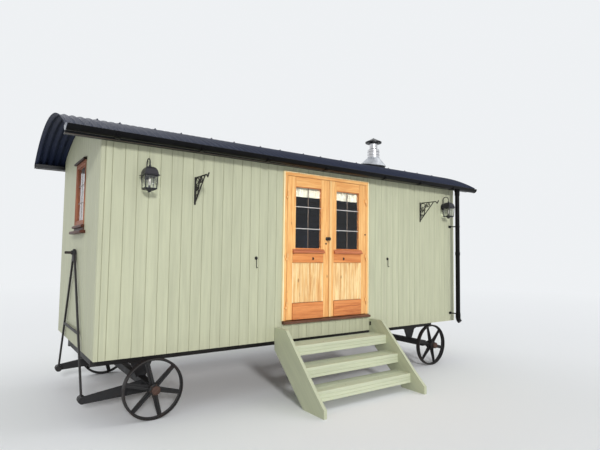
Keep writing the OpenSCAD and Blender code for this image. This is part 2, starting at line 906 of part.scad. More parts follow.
chassis_frame();
front_axle();
rear_axle();
wheel_front_near();
wheel_front_far();
wheel_rear_near();
wheel_rear_far();
floor_deck();
front_wall_left();
front_wall_right();
front_wall_over_door();
front_wall_under_door();
back_wall();
left_end_wall();
right_end_wall();
roof_shell();
roof_sheet();
eaves();
gutters();
downpipes();
flue_flashing();
flue_pipe();
flue_cap();
left_window_frame();
left_window_glass();
door_frame();
threshold();
hinge_pins();
door_left();
door_left_glass();
door_left_hinges();
door_right();
door_right_glass();
door_right_hinges();
door_knob();
door_hooks();
step_stringer_left();
step_stringer_right();
step_tread_top();
step_tread_middle();
step_tread_bottom();
tow_bar();
lanterns();
lantern_glasses();
basket_brackets();
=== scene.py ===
"""Looks of the shepherds hut, in metres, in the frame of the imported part.

The doors face -Y, X runs along the body and the ground is Z = 0. Distances across the body
are taken from its middle line, MID_Y. Colours in whole numbers run from 0 to 255; the backdrop,
the floor and the glass tints are given as the shaders take them.
"""

import random
from math import asin, ceil, cos, pi, radians, sin, sqrt

import bmesh
import bpy
from mathutils import Matrix, Vector

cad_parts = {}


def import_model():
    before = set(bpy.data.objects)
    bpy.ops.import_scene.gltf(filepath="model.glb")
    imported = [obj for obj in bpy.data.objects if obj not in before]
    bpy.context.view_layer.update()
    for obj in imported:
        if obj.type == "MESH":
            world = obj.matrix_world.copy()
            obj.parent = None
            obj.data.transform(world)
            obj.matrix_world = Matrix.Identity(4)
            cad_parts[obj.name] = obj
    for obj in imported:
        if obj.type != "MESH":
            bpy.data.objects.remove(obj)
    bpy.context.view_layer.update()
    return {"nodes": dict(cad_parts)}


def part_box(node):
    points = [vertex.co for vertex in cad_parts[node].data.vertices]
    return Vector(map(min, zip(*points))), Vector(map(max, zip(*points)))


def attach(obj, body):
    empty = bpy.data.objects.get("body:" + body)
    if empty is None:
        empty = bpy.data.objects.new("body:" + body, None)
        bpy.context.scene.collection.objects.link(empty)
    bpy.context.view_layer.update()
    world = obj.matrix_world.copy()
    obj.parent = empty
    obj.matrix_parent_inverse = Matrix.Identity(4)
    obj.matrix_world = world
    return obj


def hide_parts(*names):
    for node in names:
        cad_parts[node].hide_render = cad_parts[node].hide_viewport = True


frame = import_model()
NODES = frame["nodes"]

# Body, from the frame
BODY_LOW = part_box("left_end_wall")[0]
BODY_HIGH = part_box("right_end_wall")[1]
MID_Y = (BODY_LOW.y + BODY_HIGH.y) / 2
HALF_W = BODY_HIGH.y - MID_Y
FRONT = BODY_LOW.y
BOTTOM = BODY_LOW.z
WALL_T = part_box("left_end_wall")[1].x - BODY_LOW.x

# Roof: the sheet's crests lie ROOF_R from the arch's axis, and the boarded shell lies under it
ROOF_LOW, ROOF_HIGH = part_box("roof_sheet")
ROOF_R = 2.451
ARCH_Z = ROOF_HIGH.z - ROOF_R
SHELL_OUT = ROOF_R - 0.025
SHELL_IN = SHELL_OUT - 0.06
WAVES = 81
BOLT_WAVES = (5, 8, 13, 17, 22, 26, 31, 35, 40, 44, 49, 53, 58, 62, 67, 71, 76)
BOLT_YS = (-0.66, 0, 0.66)
FLUE_X, FLUE_Y, FLUE_CLEAR = 1.557, -0.412, 0.23

# Cladding boards, with a joint at JOINT_X
PITCH = 0.1196
JOINT_X = -2.64
BOARD_T = 0.018
GAP = 0.002
VEE = 0.0045
CORNER_W = 0.042
UNEVEN = 0.0006

# Door leaves
LEAF_LOW, LEAF_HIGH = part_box("door_left")
LEAF_W = LEAF_HIGH.x - LEAF_LOW.x
LEAF_T = 0.044
PROUD = -0.014
LEAF_Y = FRONT + PROUD
LEAF_BOT, LEAF_TOP = LEAF_LOW.z, LEAF_HIGH.z
GLASS_BOT, GLASS_TOP = 1.749, 2.538
GLASS_W, PANEL_W = 0.406, 0.486
PANEL_BOT, PANEL_TOP = 1.08, 1.575
GLASS_X = (LEAF_W - GLASS_W) / 2
PANEL_X = (LEAF_W - PANEL_W) / 2
PANEL_BOARDS = 4
SEAM_W = 0.0024
PANE_FRONT, PANE_BACK = 0.0158, 0.0222
BAR_HEIGHTS = (2.006, 2.281)

# Gutters and downpipes
GUTTER_Y, GUTTER_R, GUTTER_T = 1.226, 0.056, 0.003
GUTTER_RISE, GUTTER_FALL = 0.034, 0.032
CLIP_XS = (-2.64, -1.776, -0.955, -0.09, 0.969, 1.712, 2.5)
PIPE_X, PIPE_R = 2.64, 0.034
PIPE_FOOT = BOTTOM + 0.005

# Wheels, steps and fittings, and the angle over which an edge is sharp
WHEELS = ("front_near", "front_far", "rear_near", "rear_far")
STEP_SLOPE = radians(45)
LAMP_XS = (-2.31, 2.466)
LAMP_Y, LAMP_Z = -HALF_W - 0.112, 2.318
BRACKET_XS = (-1.78, 1.912)
SHARP = radians(32)

# Camera, as fitted to the photograph's frame of 600 by 450
CAMERA_AT = (-3.731, -5.418, 1.689)
CAMERA_YAW, CAMERA_PITCH, CAMERA_ROLL = 0.618603, 0.06232, 0.0132972
FOCAL_PX, PICTURE_W, SENSOR_MM = 460.04, 600, 36

# Studio: colours, the floor's radius and where it fades, and the light from all round
BACKDROP = (0.86, 0.88, 0.9, 1)
FLOOR = (0.84, 0.85, 0.86, 1)
FLOOR_RADIUS, FADE_FROM, FADE_TO = 60, 7, 20
WORLD_LIGHT = 0.62


def srgb(colour, times=1, plus=0):
    """A colour written as 0 to 255, as the shaders take it, and then scaled and raised."""
    parts = [c / 255 for c in colour]
    linear = [c / 12.92 if c <= 0.04045 else ((c + 0.055) / 1.055) ** 2.4 for c in parts]
    return (*[min(1, c * times + plus) for c in linear], 1)


def at(x, y, z):
    """A point with y taken from the body's middle line."""
    return Vector((x, MID_Y + y, z))


def add_node(tree, kind, values=None, **props):
    """A shader node with its properties, and a value or a link for each input named."""
    made = tree.nodes.new("ShaderNode" + kind)
    for key, value in props.items():
        setattr(made, key, value)
    for key, value in (values or {}).items():
        if isinstance(value, bpy.types.NodeSocket):
            tree.links.new(value, made.inputs[key])
        else:
            made.inputs[key].default_value = value
    return made


def put(name, data):
    """Adds an object to the scene."""
    made = bpy.data.objects.new(name, data)
    bpy.context.scene.collection.objects.link(made)
    return made


class Look:
    """A material's node graph, with short names for the nodes used here."""

    def __init__(self, name, rough, metal=0, round_edges=0, **fixed):
        self.material = bpy.data.materials.new(name)
        self.material.use_nodes = True
        self.tree = self.material.node_tree
        self.shader = self.tree.nodes["Principled BSDF"]
        self.shader.inputs["Roughness"].default_value = rough
        self.shader.inputs["Metallic"].default_value = metal
        for socket, value in fixed.items():
            self.shader.inputs[socket.replace("_", " ")].default_value = value
        self.object = self.node("TexCoord").outputs["Object"]
        self.geometry = self.node("NewGeometry").outputs
        self.normal = None
        if round_edges:
            self.normal = self.node("Bevel", {"Radius": round_edges}, samples=4).outputs[0]

    def node(self, kind, values=None, **props):
        return add_node(self.tree, kind, values, **props)

    def math(self, operation, a, b=0, clamp=False):
        return self.node("Math", {0: a, 1: b}, operation=operation, use_clamp=clamp).outputs[0]

    def coords(self, stretch=(1, 1, 1), islands=False, turn=0):
        """Object coordinates, turned about X, stretched, and shifted for each board if islands is set."""
        start = self.object
        if turn:
            start = self.node("Mapping", {"Vector": start, "Rotation": (turn, 0, 0)}).outputs[0]
        place = self.node("Mapping", {"Vector": start, "Scale": stretch})
        if islands:
            shift = self.math("MULTIPLY", self.geometry["Random Per Island"], 37)
            self.tree.links.new(shift, place.inputs["Location"])
        return place.outputs[0]

    def noise(self, scale, detail=4, stretch=(1, 1, 1), islands=False, rough=0.55, turn=0):
        place = self.coords(stretch, islands, turn)
        values = {"Vector": place, "Scale": scale, "Detail": detail, "Roughness": rough}
        return self.node("TexNoise", values).outputs["Fac"]

    def ramp(self, factor, *stops):
        made = self.node("ValToRGB", {"Fac": factor})
        band = made.color_ramp.elements
        while len(band) < len(stops):
            band.new(0.5)
        for element, (position, colour) in zip(band, stops):
            element.position = position
            element.color = colour if hasattr(colour, "__len__") else (colour, colour, colour, 1)
        return made.outputs[0]

    def mix(self, factor, a, b, mode="MIX"):
        return self.node("Mix", {0: factor, 6: a, 7: b}, data_type="RGBA", blend_type=mode).outputs[2]

    def cover(self, tone, over, factor, *stops):
        """A tone with another over it, as much as a ramp of the factor says."""
        return self.mix(self.ramp(factor, *stops), tone, over)

    def vary_boards(self, tone, darkest, amount):
        """Each board a little darker or lighter than the next."""
        shade = self.ramp(self.geometry["Random Per Island"], (0, darkest), (1, 1))
        return self.mix(amount, tone, shade, "MULTIPLY")

    def height_mask(self, low, high):
        """1 below the height low, 0 above high."""
        z = self.node("SeparateXYZ", {0: self.object}).outputs[2]
        values = {"Value": z, "From Min": low, "From Max": high, "To Min": 1, "To Max": 0}
        return self.node("MapRange", values).outputs[0]

    def surface(self, factor, other):
        """Sends a mix of the shader and another one to the output."""
        both = self.node("MixShader", {0: factor, 1: self.shader.outputs[0], 2: other}).outputs[0]
        self.tree.links.new(both, self.tree.nodes["Material Output"].inputs["Surface"])

    def done(self, tone, rough, bump):
        """Joins up the colour, the roughness between two values, and bumps of a depth and strength."""
        sockets, link = self.shader.inputs, self.tree.links.new
        link(tone, sockets["Base Color"])
        if rough:
            values = dict(zip(("Value", "To Min", "To Max"), rough))
            link(self.node("MapRange", values).outputs[0], sockets["Roughness"])
        values = dict(zip(("Height", "Distance", "Strength"), bump))
        if self.normal:
            values["Normal"] = self.normal
        link(self.node("Bump", values).outputs[0], sockets["Normal"])
        return self.material


# How a noise is stretched along the grain
ALONG = {"x": (0.06, 1, 1), "y": (1, 0.06, 1), "z": (1, 1, 0.06)}


def paint_look(name, base, along="z", islands=False, splash=0, turn=0):
    """Brushed exterior paint over sawn boards, with streaks, and splashed soil low down."""
    look = Look(name, 0.5, round_edges=0 if islands else 0.002)
    streak = look.noise(26, 5, ALONG[along], islands, turn=turn)
    patch = look.noise(1.6, 3)
    tone = look.cover(srgb(base, 0.88), srgb(base, 1.08), streak, (0.32, 0), (0.72, 1))
    tone = look.cover(tone, srgb(base), patch, (0.3, 0), (0.75, 0.45))
    if islands:
        tone = look.vary_boards(tone, 0.93, 0.8)
    if splash:
        soil = look.math("MULTIPLY", look.height_mask(BOTTOM, BOTTOM + splash), look.noise(9, 6))
        tone = look.mix(look.math("MULTIPLY", soil, 0.22, True), tone, srgb((132, 120, 98)))
    height = look.noise(140, 3, ALONG[along], islands, turn=turn)
    return look.done(tone, (streak, 0.42, 0.62), (height, 0.0006, 0.5))


def timber_look(name, tones, along="z", islands=True, knots=True, gloss=0.4):
    """Oiled softwood: fine streaks, the contour lines of a stretched noise, and a few knots.

    The tones are pale, middle and deep.
    """
    pale, middle, deep = (srgb(tone) for tone in tones)
    grain, contours = ALONG[along], 60
    look = Look(name, 0.4, round_edges=0 if islands else 0.002, Specular_IOR_Level=gloss)
    streak = look.noise(34, 5, grain, islands, 0.6)
    tone = look.ramp(streak, (0.34, deep), (0.45, middle), (0.58, pale))
    field = look.noise(4.5, 2, grain, islands, 0.4)
    ring = look.math("SINE", look.math("MULTIPLY", field, contours))
    tone = look.cover(tone, deep, ring, (0.55, 0), (1, 0.5))
    tone = look.cover(tone, middle, look.noise(2, 3, islands=islands), (0.35, 0), (0.7, 0.5))
    fibre = look.noise(170, 4, grain, islands)
    tone = look.cover(tone, deep, fibre, (0.35, 0.3), (0.6, 0))
    if islands:
        tone = look.vary_boards(tone, 0.9, 1)
    if knots:
        place = look.coords(tuple(s if s == 1 else 0.45 for s in grain), islands)
        cell = look.node("TexVoronoi", {"Vector": place, "Scale": 7.5}).outputs["Distance"]
        tone = look.cover(tone, srgb(tones[2], 0.35), cell, (0.05, 0.7), (0.11, 0))
    return look.done(tone, (fibre, 0.32, 0.52), (fibre, 0.0005, 0.5))


def iron_look(name, base, rust, rough=0.5):
    """Black paint on rough iron, with rust where it has worn through."""
    look = Look(name, rough, round_edges=0.003, Specular_IOR_Level=0.4)
    blotch = look.noise(7, 6)
    grit = look.noise(160, 3)
    tone = look.cover(srgb(base), srgb(base, 2, 0.004), grit, (0.4, 0), (0.8, 0.5))
    tone = look.cover(tone, srgb((84, 52, 38)), blotch, (0.56, 0), (0.74, rust))
    tone = look.cover(tone, srgb((84, 68, 58)), look.geometry["Pointiness"], (0.53, 0), (0.62, rust))
    return look.done(tone, (blotch, rough - 0.12, rough + 0.22), (grit, 0.0008, 0.4))


def roof_look():
    """Dark slate coating on the corrugated sheet, dusty in streaks down the slope."""
    look = Look("roof_coating", 0.42, Specular_IOR_Level=0.07)
    streak = look.noise(12, 5, (1, 0.12, 0.12))
    dust = look.noise(5, 6)
    tone = look.cover(srgb((27, 34, 54)), srgb((39, 46, 68)), streak, (0.35, 0), (0.75, 0.7))
    tone = look.cover(tone, srgb((72, 76, 86)), dust, (0.55, 0), (0.85, 0.22))
    return look.done(tone, (dust, 0.38, 0.55), (look.noise(240, 3), 0.0004, 0.35))


def plastic_look():
    """Black rainwater plastic with a faint bloom of dust."""
    look = Look("gutter_plastic", 0.28, round_edges=0.002, Specular_IOR_Level=0.12)
    dust = look.noise(14, 6)
    tone = look.cover(srgb((7, 7, 9)), srgb((26, 27, 30)), dust, (0.5, 0), (0.9, 0.35))
    return look.done(tone, (dust, 0.2, 0.42), (look.noise(60, 2), 0.0003, 0.3))


def steel_look():
    """Bright flue steel, brushed round the pipe, faintly browned by heat."""
    look = Look("flue_steel", 0.26, metal=1)
    brush = look.noise(220, 3, (0.02, 0.02, 1))
    smoke = look.noise(6, 4)
    tone = look.cover(srgb((205, 205, 208)), srgb((158, 148, 140)), smoke, (0.45, 0), (0.8, 0.4))
    return look.done(tone, (brush, 0.2, 0.38), (brush, 0.0003, 0.4))


def hood_look(black_foot_height):
    """Grey weathered metal of the flue's hood, with a black band round its foot."""
    look = Look("flue_hood", 0.42, metal=0.55)
    cloud = look.noise(18, 5)
    tone = look.cover(srgb((190, 193, 198)), srgb((150, 153, 158)), cloud, (0.35, 0), (0.7, 0.8))
    slope = asin(FLUE_Y / ROOF_R)
    up = Vector((0, sin(slope), cos(slope)))
    level = look.node("VectorMath", {0: look.object, 1: up}, operation="DOT_PRODUCT").outputs["Value"]
    foot = at(0, 0, ARCH_Z).dot(up) + ROOF_R + black_foot_height
    tone = look.mix(look.math("LESS_THAN", level, foot), tone, srgb((24, 24, 26)))
    return look.done(tone, (cloud, 0.34, 0.5), (look.noise(120, 3), 0.0004, 0.3))


def glass_look(name, tint, rough=0.02, ior=1.46):
    """Clear glass with a faint waviness and dried rain; lamps shine through it."""
    look = Look(name, rough, Transmission_Weight=1, IOR=ior)
    rain = look.noise(45, 5, (1, 1, 0.25))
    clear = look.node("BsdfTransparent", {"Color": tint}).outputs[0]
    look.surface(look.node("LightPath").outputs["Is Shadow Ray"], clear)
    tone = look.cover(tint, (0.8, 0.82, 0.82, 1), rain, (0.5, 0), (0.9, 0.25))
    return look.done(tone, (rain, rough, rough + 0.04), (look.noise(5, 1), 0.0008, 0.25))


def laid_boards_look(name, pale, deep, width, across=1):
    """Boards laid along X, their joints drawn from the coordinate across them."""
    look = Look(name, 0.45)
    part = look.node("SeparateXYZ", {0: look.object}).outputs[across]
    step = look.math("MULTIPLY", part, 1 / width)
    joint = look.ramp(look.math("PINGPONG", step, 0.5), (0.012, 1), (0.03, 0))
    board = look.math("FLOOR", step)
    shade = look.node("TexWhiteNoise", {"W": board}, noise_dimensions="1D").outputs[0]
    grain = look.noise(30, 5, ALONG["x"])
    tone = look.cover(srgb(deep), srgb(pale), grain, (0.3, 0), (0.75, 1))
    tone = look.cover(tone, srgb(deep), shade, (0, 0), (1, 0.35))
    tone = look.mix(joint, tone, srgb(deep, 0.3))
    height = look.math("SUBTRACT", grain, look.math("MULTIPLY", joint, 3))
    return look.done(tone, (grain, 0.38, 0.55), (height, 0.001, 0.6))


def plain_look(name, base, rough, metal=0, grain=90):
    """A plain finish that still varies a little over the surface."""
    look = Look(name, rough, metal=metal, round_edges=0.001)
    cloud = look.noise(grain * 0.2, 4)
    tone = look.cover(srgb(base), srgb(base, 0.8), cloud, (0.3, 0), (0.7, 1))
    return look.done(tone, (cloud, rough - 0.06, rough + 0.1), (look.noise(grain, 3), 0.0004, 0.4))


def cloth_look():
    """White cotton of the blinds, with its weave."""
    look = Look("blind_cotton", 0.85, Sheen_Weight=0.2)
    values = {"Vector": look.object, "Scale": 420}
    weave, weft = (look.node("TexWave", values, bands_direction=way).outputs["Fac"] for way in "XZ")
    cloud = look.noise(20, 3)
    tone = look.cover(srgb((228, 222, 196)), srgb((208, 200, 172)), cloud, (0.3, 0), (0.8, 1))
    return look.done(tone, None, (look.math("ADD", weave, weft), 0.0003, 0.5))


# Paint
BOARDS = paint_look("sage_cladding", (185, 187, 159), islands=True, splash=0.22)
SAGE_TRIM = paint_look("sage_treads", (194, 199, 172), along="x")
STRINGER = paint_look("sage_stringers", (182, 186, 158), turn=STEP_SLOPE)
# The lining's dark navy is painted shade: it stands for the dark inside of the hut seen through the glass.
SHADED_LINING = laid_boards_look("lining_navy_painted_shade", (74, 88, 116), (62, 75, 102), 0.12, across=2)
FASCIA = plain_look("black_fascia_and_soffits", (20, 22, 28), 0.45, grain=60)

# Oiled timber of the doors
STILE = timber_look("oiled_stiles", [(250, 202, 132), (242, 182, 110), (214, 142, 76)])
RAIL = timber_look("oiled_rails", [(248, 196, 126), (240, 176, 104), (212, 138, 74)], "x")
MID_RAIL = timber_look("oiled_middle_rails", [(244, 168, 98), (232, 150, 82), (190, 106, 54)], "x")
PANEL = timber_look("oiled_panels", [(254, 230, 174), (242, 196, 130), (202, 136, 74)])
KICK = timber_look("oiled_kick_boards", [(236, 158, 94), (220, 138, 76), (170, 92, 46)], "x")
DRIP = timber_look("oiled_drip_rails", [(206, 124, 78), (188, 106, 66), (140, 70, 40)], "x")
BEAD = timber_look("pale_beads", [(255, 242, 200), (252, 232, 180), (236, 200, 136)], knots=False)
MEETING = timber_look("meeting_strip", [(250, 214, 152), (242, 196, 130), (216, 158, 94)], knots=False)
SILL = timber_look("dark_threshold", [(116, 76, 52), (92, 56, 38), (58, 34, 24)], "x", islands=False)
STAINED = plain_look("stained_hinges", (244, 188, 120), 0.45)
# The seams' near-black brown is painted shade, set behind the gaps between the door's timbers.
SEAM_SHADE = plain_look("painted_shade_seams", (62, 34, 20), 0.8)

# Timber of the left window, browner than the doors and darkened further as painted shade, and the fascia's
# bare edge
SHADED_UPRIGHT = timber_look("oiled_window_stiles_painted_shade", [(168, 104, 68), (148, 86, 54), (102, 56, 36)])
SHADED_CROSS = timber_look("oiled_window_rails_painted_shade", [(172, 106, 68), (152, 88, 54), (106, 58, 36)], "y", gloss=0.15)
SHADED_LEDGE = timber_look("window_sill_painted_shade", [(98, 60, 46), (78, 46, 36), (48, 28, 24)], "y", gloss=0.08)
SHADED_HOOD = timber_look("window_hood_painted_shade", [(66, 46, 38), (52, 36, 30), (32, 22, 20)], "y", gloss=0.08)
RAW_EDGE = timber_look("bare_fascia_edge", [(112, 92, 74), (90, 72, 58), (58, 46, 38)], "x")

# Iron, roof, rainwater and fittings
IRON = iron_look("black_iron", (17, 17, 19), rust=0.1)
WHEEL_IRON = iron_look("wheel_iron", (22, 21, 22), rust=0.22, rough=0.52)
RUSTY = iron_look("rusty_hubs", (62, 42, 34), rust=0.6, rough=0.7)
PEWTER = iron_look("lantern_pewter", (26, 27, 34), rust=0.05, rough=0.38)
ROOF = roof_look()
GUTTER = plastic_look()
# The pale grey of the front-left stop end is a painted highlight, for the glint on it.
GLINT_STOP_END = plain_look("stop_end_painted_glint", (150, 154, 162), 0.4)
BLACK = plain_look("black_fittings", (16, 16, 18), 0.3)
BULB = plain_look("lamp_bulb", (176, 172, 164), 0.2)

# Glass, its bars and the blinds
PANE = glass_look("window_pane", (0.95, 0.97, 1, 1), ior=1.28)
SKY_PANE = glass_look("end_window_pane", (0.93, 0.96, 1, 1), ior=1.7)
LAMP_GLASS = glass_look("lantern_pane", (0.95, 0.96, 0.95, 1), 0.04)
BAR = plain_look("pale_glazing_bars", (214, 212, 208), 0.35)
BROWN_BAR = plain_look("brown_glazing_bars", (128, 112, 100), 0.4)
COTTON = cloth_look()


class Shape:
    """Closed forms gathered into one piece."""

    def __init__(self):
        self.points, self.faces, self.slots = [], [], []

    def loft(self, rings, slot=0):
        """Joins rings with the same number of points, and caps the first and the last."""
        start, n, last = len(self.points), len(rings[0]), len(rings) - 1
        self.points += [tuple(p) for ring in rings for p in ring]
        faces = [tuple(range(n)), tuple(last * n + i for i in range(n))]
        for k in range(last):
            for i in range(n):
                j = (i + 1) % n
                faces.append((k * n + i, k * n + j, (k + 1) * n + j, (k + 1) * n + i))
        self.faces += [tuple(start + i for i in face) for face in faces]
        self.slots += [slot] * len(faces)

    def box(self, low, high, slot=0):
        """A box between any two opposite corners."""
        xs, (y0, y1), (z0, z1) = (sorted(pair) for pair in zip(low, high))
        self.loft([[(x, y0, z0), (x, y1, z0), (x, y1, z1), (x, y0, z1)] for x in xs], slot)

    def run_x(self, outline, x0, x1, slot=0):
        """An outline in y and z, run along X."""
        self.loft([[(x, y, z) for y, z in outline] for x in sorted((x0, x1))], slot)

    def lathe(self, profile, centre, axis=(0, 0, 1), sides=24):
        """A profile of radius and height turned about an axis."""
        turn = Vector((0, 0, 1)).rotation_difference(Vector(axis)).to_matrix()
        angles = [2 * pi * k / sides for k in range(sides)]
        rings = []
        for r, h in profile:
            ring = [turn @ Vector((r * cos(a), r * sin(a), h)) for a in angles]
            rings.append([Vector(centre) + p for p in ring])
        self.loft(rings)

    def tube(self, path, radius, sides=8):
        """A round bar along a path; radius may be a number or one for each point."""
        path = [Vector(p) for p in path]
        radii = radius if hasattr(radius, "__len__") else [radius] * len(path)
        angles = [2 * pi * i / sides for i in range(sides)]
        side, rings = None, []
        for k, point in enumerate(path):
            ahead = (path[min(k + 1, len(path) - 1)] - path[max(k - 1, 0)]).normalized()
            if side is None:
                side = ahead.orthogonal().normalized()
            side = (side - ahead * side.dot(ahead)).normalized()
            other = ahead.cross(side)
            rings.append([point + radii[k] * (side * cos(a) + other * sin(a)) for a in angles])
        self.loft(rings)

    def build(self, name, looks, slot, bevel=0, replaces=(), body="hut"):
        """Makes the piece, with bevelled edges if bevel is set."""
        mesh = bpy.data.meshes.new(name)
        mesh.from_pydata(self.points, [], self.faces)
        for look in looks:
            mesh.materials.append(look)
        mesh.polygons.foreach_set("material_index", self.slots)
        mesh.polygons.foreach_set("use_smooth", [True] * len(self.faces))
        work = bmesh.new()
        work.from_mesh(mesh)
        bmesh.ops.recalc_face_normals(work, faces=work.faces)
        work.to_mesh(mesh)
        work.free()
        mesh.set_sharp_from_angle(angle=SHARP)
        piece = put(name, mesh)
        if bevel:
            rounded = piece.modifiers.new("rounded_edges", "BEVEL")
            rounded.width = bevel
            rounded.segments = 2
            rounded.limit_method = "ANGLE"
            rounded.angle_limit = SHARP
        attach(piece, body)
        if replaces:
            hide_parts(*replaces)


def give(look, *names):
    """Gives a look to CAD nodes."""
    for name in names:
        slots = NODES[name].data.materials
        slots.clear()
        slots.append(look)


def board_edges(low, high, start):
    """Where the boards between low and high meet, in step with start."""
    least = 0.02
    count = ceil((low + least - start) / PITCH)
    edges = [low]
    while start + count * PITCH < high - least:
        edges.append(start + count * PITCH)
        count += 1
    return edges + [high]


def add_boards(shape, edges, bottom, top, place, chance):
    """Upright boards with a vee along each joint; place takes the run, the depth and the height."""
    half = GAP / 2
    for a, b in zip(edges, edges[1:]):
        proud = chance.uniform(0, UNEVEN)
        section = [
            (a + half, BOARD_T), (a + half, VEE), (a + half + VEE, proud),
            (b - half - VEE, proud), (b - half, VEE), (b - half, BOARD_T),
        ]
        shape.loft([[place(u, d, bottom) for u, d in section], [place(u, d, top(u, d)) for u, d in section]])


def side_top(depth):
    """Height of a side wall's top at a depth behind its outer face."""
    return ARCH_Z + sqrt(SHELL_IN**2 - (HALF_W - depth) ** 2) - 0.001


def side_boards(name, node, x0, x1, bottom, top=None, side=-1):
    """Boards and lining of a wall along X; side is -1 at the front and 1 at the back.

    Where the wall ends at a corner, its boards run on past it to the corner strip.
    """

    def place(u, depth, z):
        return at(u, side * (HALF_W - depth), z)

    def height(_, depth):
        return top or side_top(depth)

    past = WALL_T - CORNER_W
    first = x0 - past if x0 < BODY_LOW.x + WALL_T + 0.001 else x0
    last = x1 + past if x1 > BODY_HIGH.x - WALL_T - 0.001 else x1
    shape = Shape()
    add_boards(shape, board_edges(first, last, JOINT_X), bottom, height, place, random.Random(name))
    inner = [(BOARD_T, bottom), (WALL_T, bottom), (WALL_T, height(0, WALL_T)), (BOARD_T, height(0, BOARD_T))]
    shape.loft([[place(x, depth, z) for depth, z in inner] for x in (x0, x1)], 1)
    shape.build(name, [BOARDS, SHADED_LINING], "sage_boards", replaces=(node,))


def board_outlines(a, b, window):
    """Outlines of one board: across, the way that its vee falls back, and height, or None at the arch."""
    whole = [(a, 1, BOTTOM), (b, -1, BOTTOM), (b, -1, None), (a, 1, None)]
    if not window or b <= window[0] or a >= window[1]:
        return [whole]
    y0, y1, z0, z1 = window
    if a < y0:
        return [whole[:2] + [(b, -1, z0), (y0, 0, z0), (y0, 0, z1), (b, -1, z1)] + whole[2:]]
    if b > y1:
        return [whole + [(a, 1, z1), (y1, 0, z1), (y1, 0, z0), (a, 1, z0)]]
    return [whole[:2] + [(b, -1, z0), (a, 1, z0)], [(a, 1, z1), (b, -1, z1)] + whole[2:]]


def end_boards(name, node, face, inward, window=None):
    """Boards, corner boards and lining of an end wall, laid round the window's opening if it has one."""

    def place(u, depth, z):
        return Vector((face + inward * depth, MID_Y + u, z))

    def height(u, _=0):
        return ARCH_Z + sqrt(SHELL_OUT**2 - u * u) - 0.001

    shape, chance = Shape(), random.Random(name)
    reach = HALF_W - BOARD_T
    edges = board_edges(-reach, reach, -HALF_W + 0.04)
    for a, b in zip(edges, edges[1:]):
        proud = chance.uniform(0, UNEVEN)
        for outline in board_outlines(a, b, window):
            rings = []
            for depth, back in ((proud, GAP / 2 + VEE), (VEE, GAP / 2), (BOARD_T, GAP / 2)):
                ring = [(u + way * back, z) for u, way, z in outline]
                rings.append([place(u, depth, height(u) if z is None else z) for u, z in ring])
            shape.loft(rings)
    for side in (-1, 1):
        def turned(u, depth, z, side=side):
            return Vector((face + inward * u, MID_Y + side * (HALF_W - depth), z))

        add_boards(shape, [0, CORNER_W], BOTTOM, lambda u, d: height(HALF_W - d), turned, chance)
    y0, y1, z0, z1 = window or (0, 0, BOTTOM, BOTTOM)
    parts = [(-reach, y0, BOTTOM, None), (y1, reach, BOTTOM, None)]
    if window:
        parts += [(y0, y1, BOTTOM, z0), (y0, y1, z1, None)]
    steps = 16
    for a, b, low, top in parts:
        across = [a + (b - a) * k / steps for k in range(steps + 1)]
        outline = [(b, low), (a, low), *((u, height(u) if top is None else top) for u in across)]
        shape.loft([[place(u, depth, z) for u, z in outline] for depth in (BOARD_T, WALL_T)], 1)
    shape.build(name, [BOARDS, SHADED_LINING], "sage_boards", replaces=(node,))


def walls():
    door_low, door_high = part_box("door_frame")
    left, right = BODY_LOW.x, BODY_HIGH.x
    sill_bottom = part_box("threshold")[0].z
    side_boards("boards_front_left", "front_wall_left", left + WALL_T, door_low.x, BOTTOM)
    side_boards("boards_front_right", "front_wall_right", door_high.x, right - WALL_T, BOTTOM)
    side_boards("boards_over_door", "front_wall_over_door", door_low.x, door_high.x, door_high.z)
    side_boards("boards_under_door", "front_wall_under_door", door_low.x, door_high.x, BOTTOM, sill_bottom)
    side_boards("boards_back", "back_wall", left + WALL_T, right - WALL_T, BOTTOM, side=1)
    y0, y1, z0, z1 = window_outline()
    end_boards("boards_left_end", "left_end_wall", left, 1, (y0 - MID_Y, y1 - MID_Y, z0, z1))
    end_boards("boards_right_end", "right_end_wall", right, -1)


def roof_bolts():
    """Bolts with washers on the crests, in lines over the purlins, but not under the flue."""
    washer = [(0.013, 0), (0.013, 0.002), (0.0105, 0.0035)]
    head = [(0.008, 0.003), (0.008, 0.008), (0.0055, 0.011), (0.001, 0.012)]
    shape = Shape()
    pitch = (ROOF_HIGH.x - ROOF_LOW.x) / WAVES
    for k in BOLT_WAVES:
        for y in BOLT_YS:
            angle = asin(y / ROOF_R)
            up = Vector((0, sin(angle), cos(angle)))
            foot = Vector((ROOF_LOW.x + k * pitch, MID_Y, ARCH_Z)) + up * (ROOF_R - 0.001)
            if (foot - at(FLUE_X, FLUE_Y, foot.z)).length < FLUE_CLEAR:
                continue
            shape.lathe(washer, foot, up, 12)
            shape.lathe(head, foot, up, 6)
    shape.build("roof_bolts", [ROOF], "roof_sheet")


def across(width):
    """The two ends of a width in the middle of a leaf."""
    return (LEAF_W - width) / 2, (LEAF_W + width) / 2


def ends(low, high, strip):
    """The strips at the two ends of a span."""
    return (low, low + strip), (high - strip, high)


class Leaf:
    """A door leaf; x is taken from its hinge edge, and y inwards from its outer face."""

    def __init__(self, side):
        self.side = side
        self.node = "door_left" if side < 0 else "door_right"

    def x(self, x):
        """How far along the hut a point x from the hinge edge is."""
        low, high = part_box(self.node)
        return low.x + x if self.side < 0 else high.x - x

    def box(self, shape, x, z, y, slot=0):
        """A timber between two values each of x, z and y."""
        shape.box(*((self.x(x[k]), LEAF_Y + y[k], z[k]) for k in (0, 1)), slot)

    def run(self, shape, outline, width, slot=0):
        """An outline of y and z, run along a width in the middle of the leaf."""
        shape.run_x([(LEAF_Y + y, z) for y, z in outline], *map(self.x, across(width)), slot)

    def build(self, shape, part, looks, bevel=0.0015, slot="oiled_timber", replaces=True):
        nodes = (self.node,) if replaces else ()
        shape.build(f"{self.node}_{part}", looks, slot, bevel, nodes, self.node)


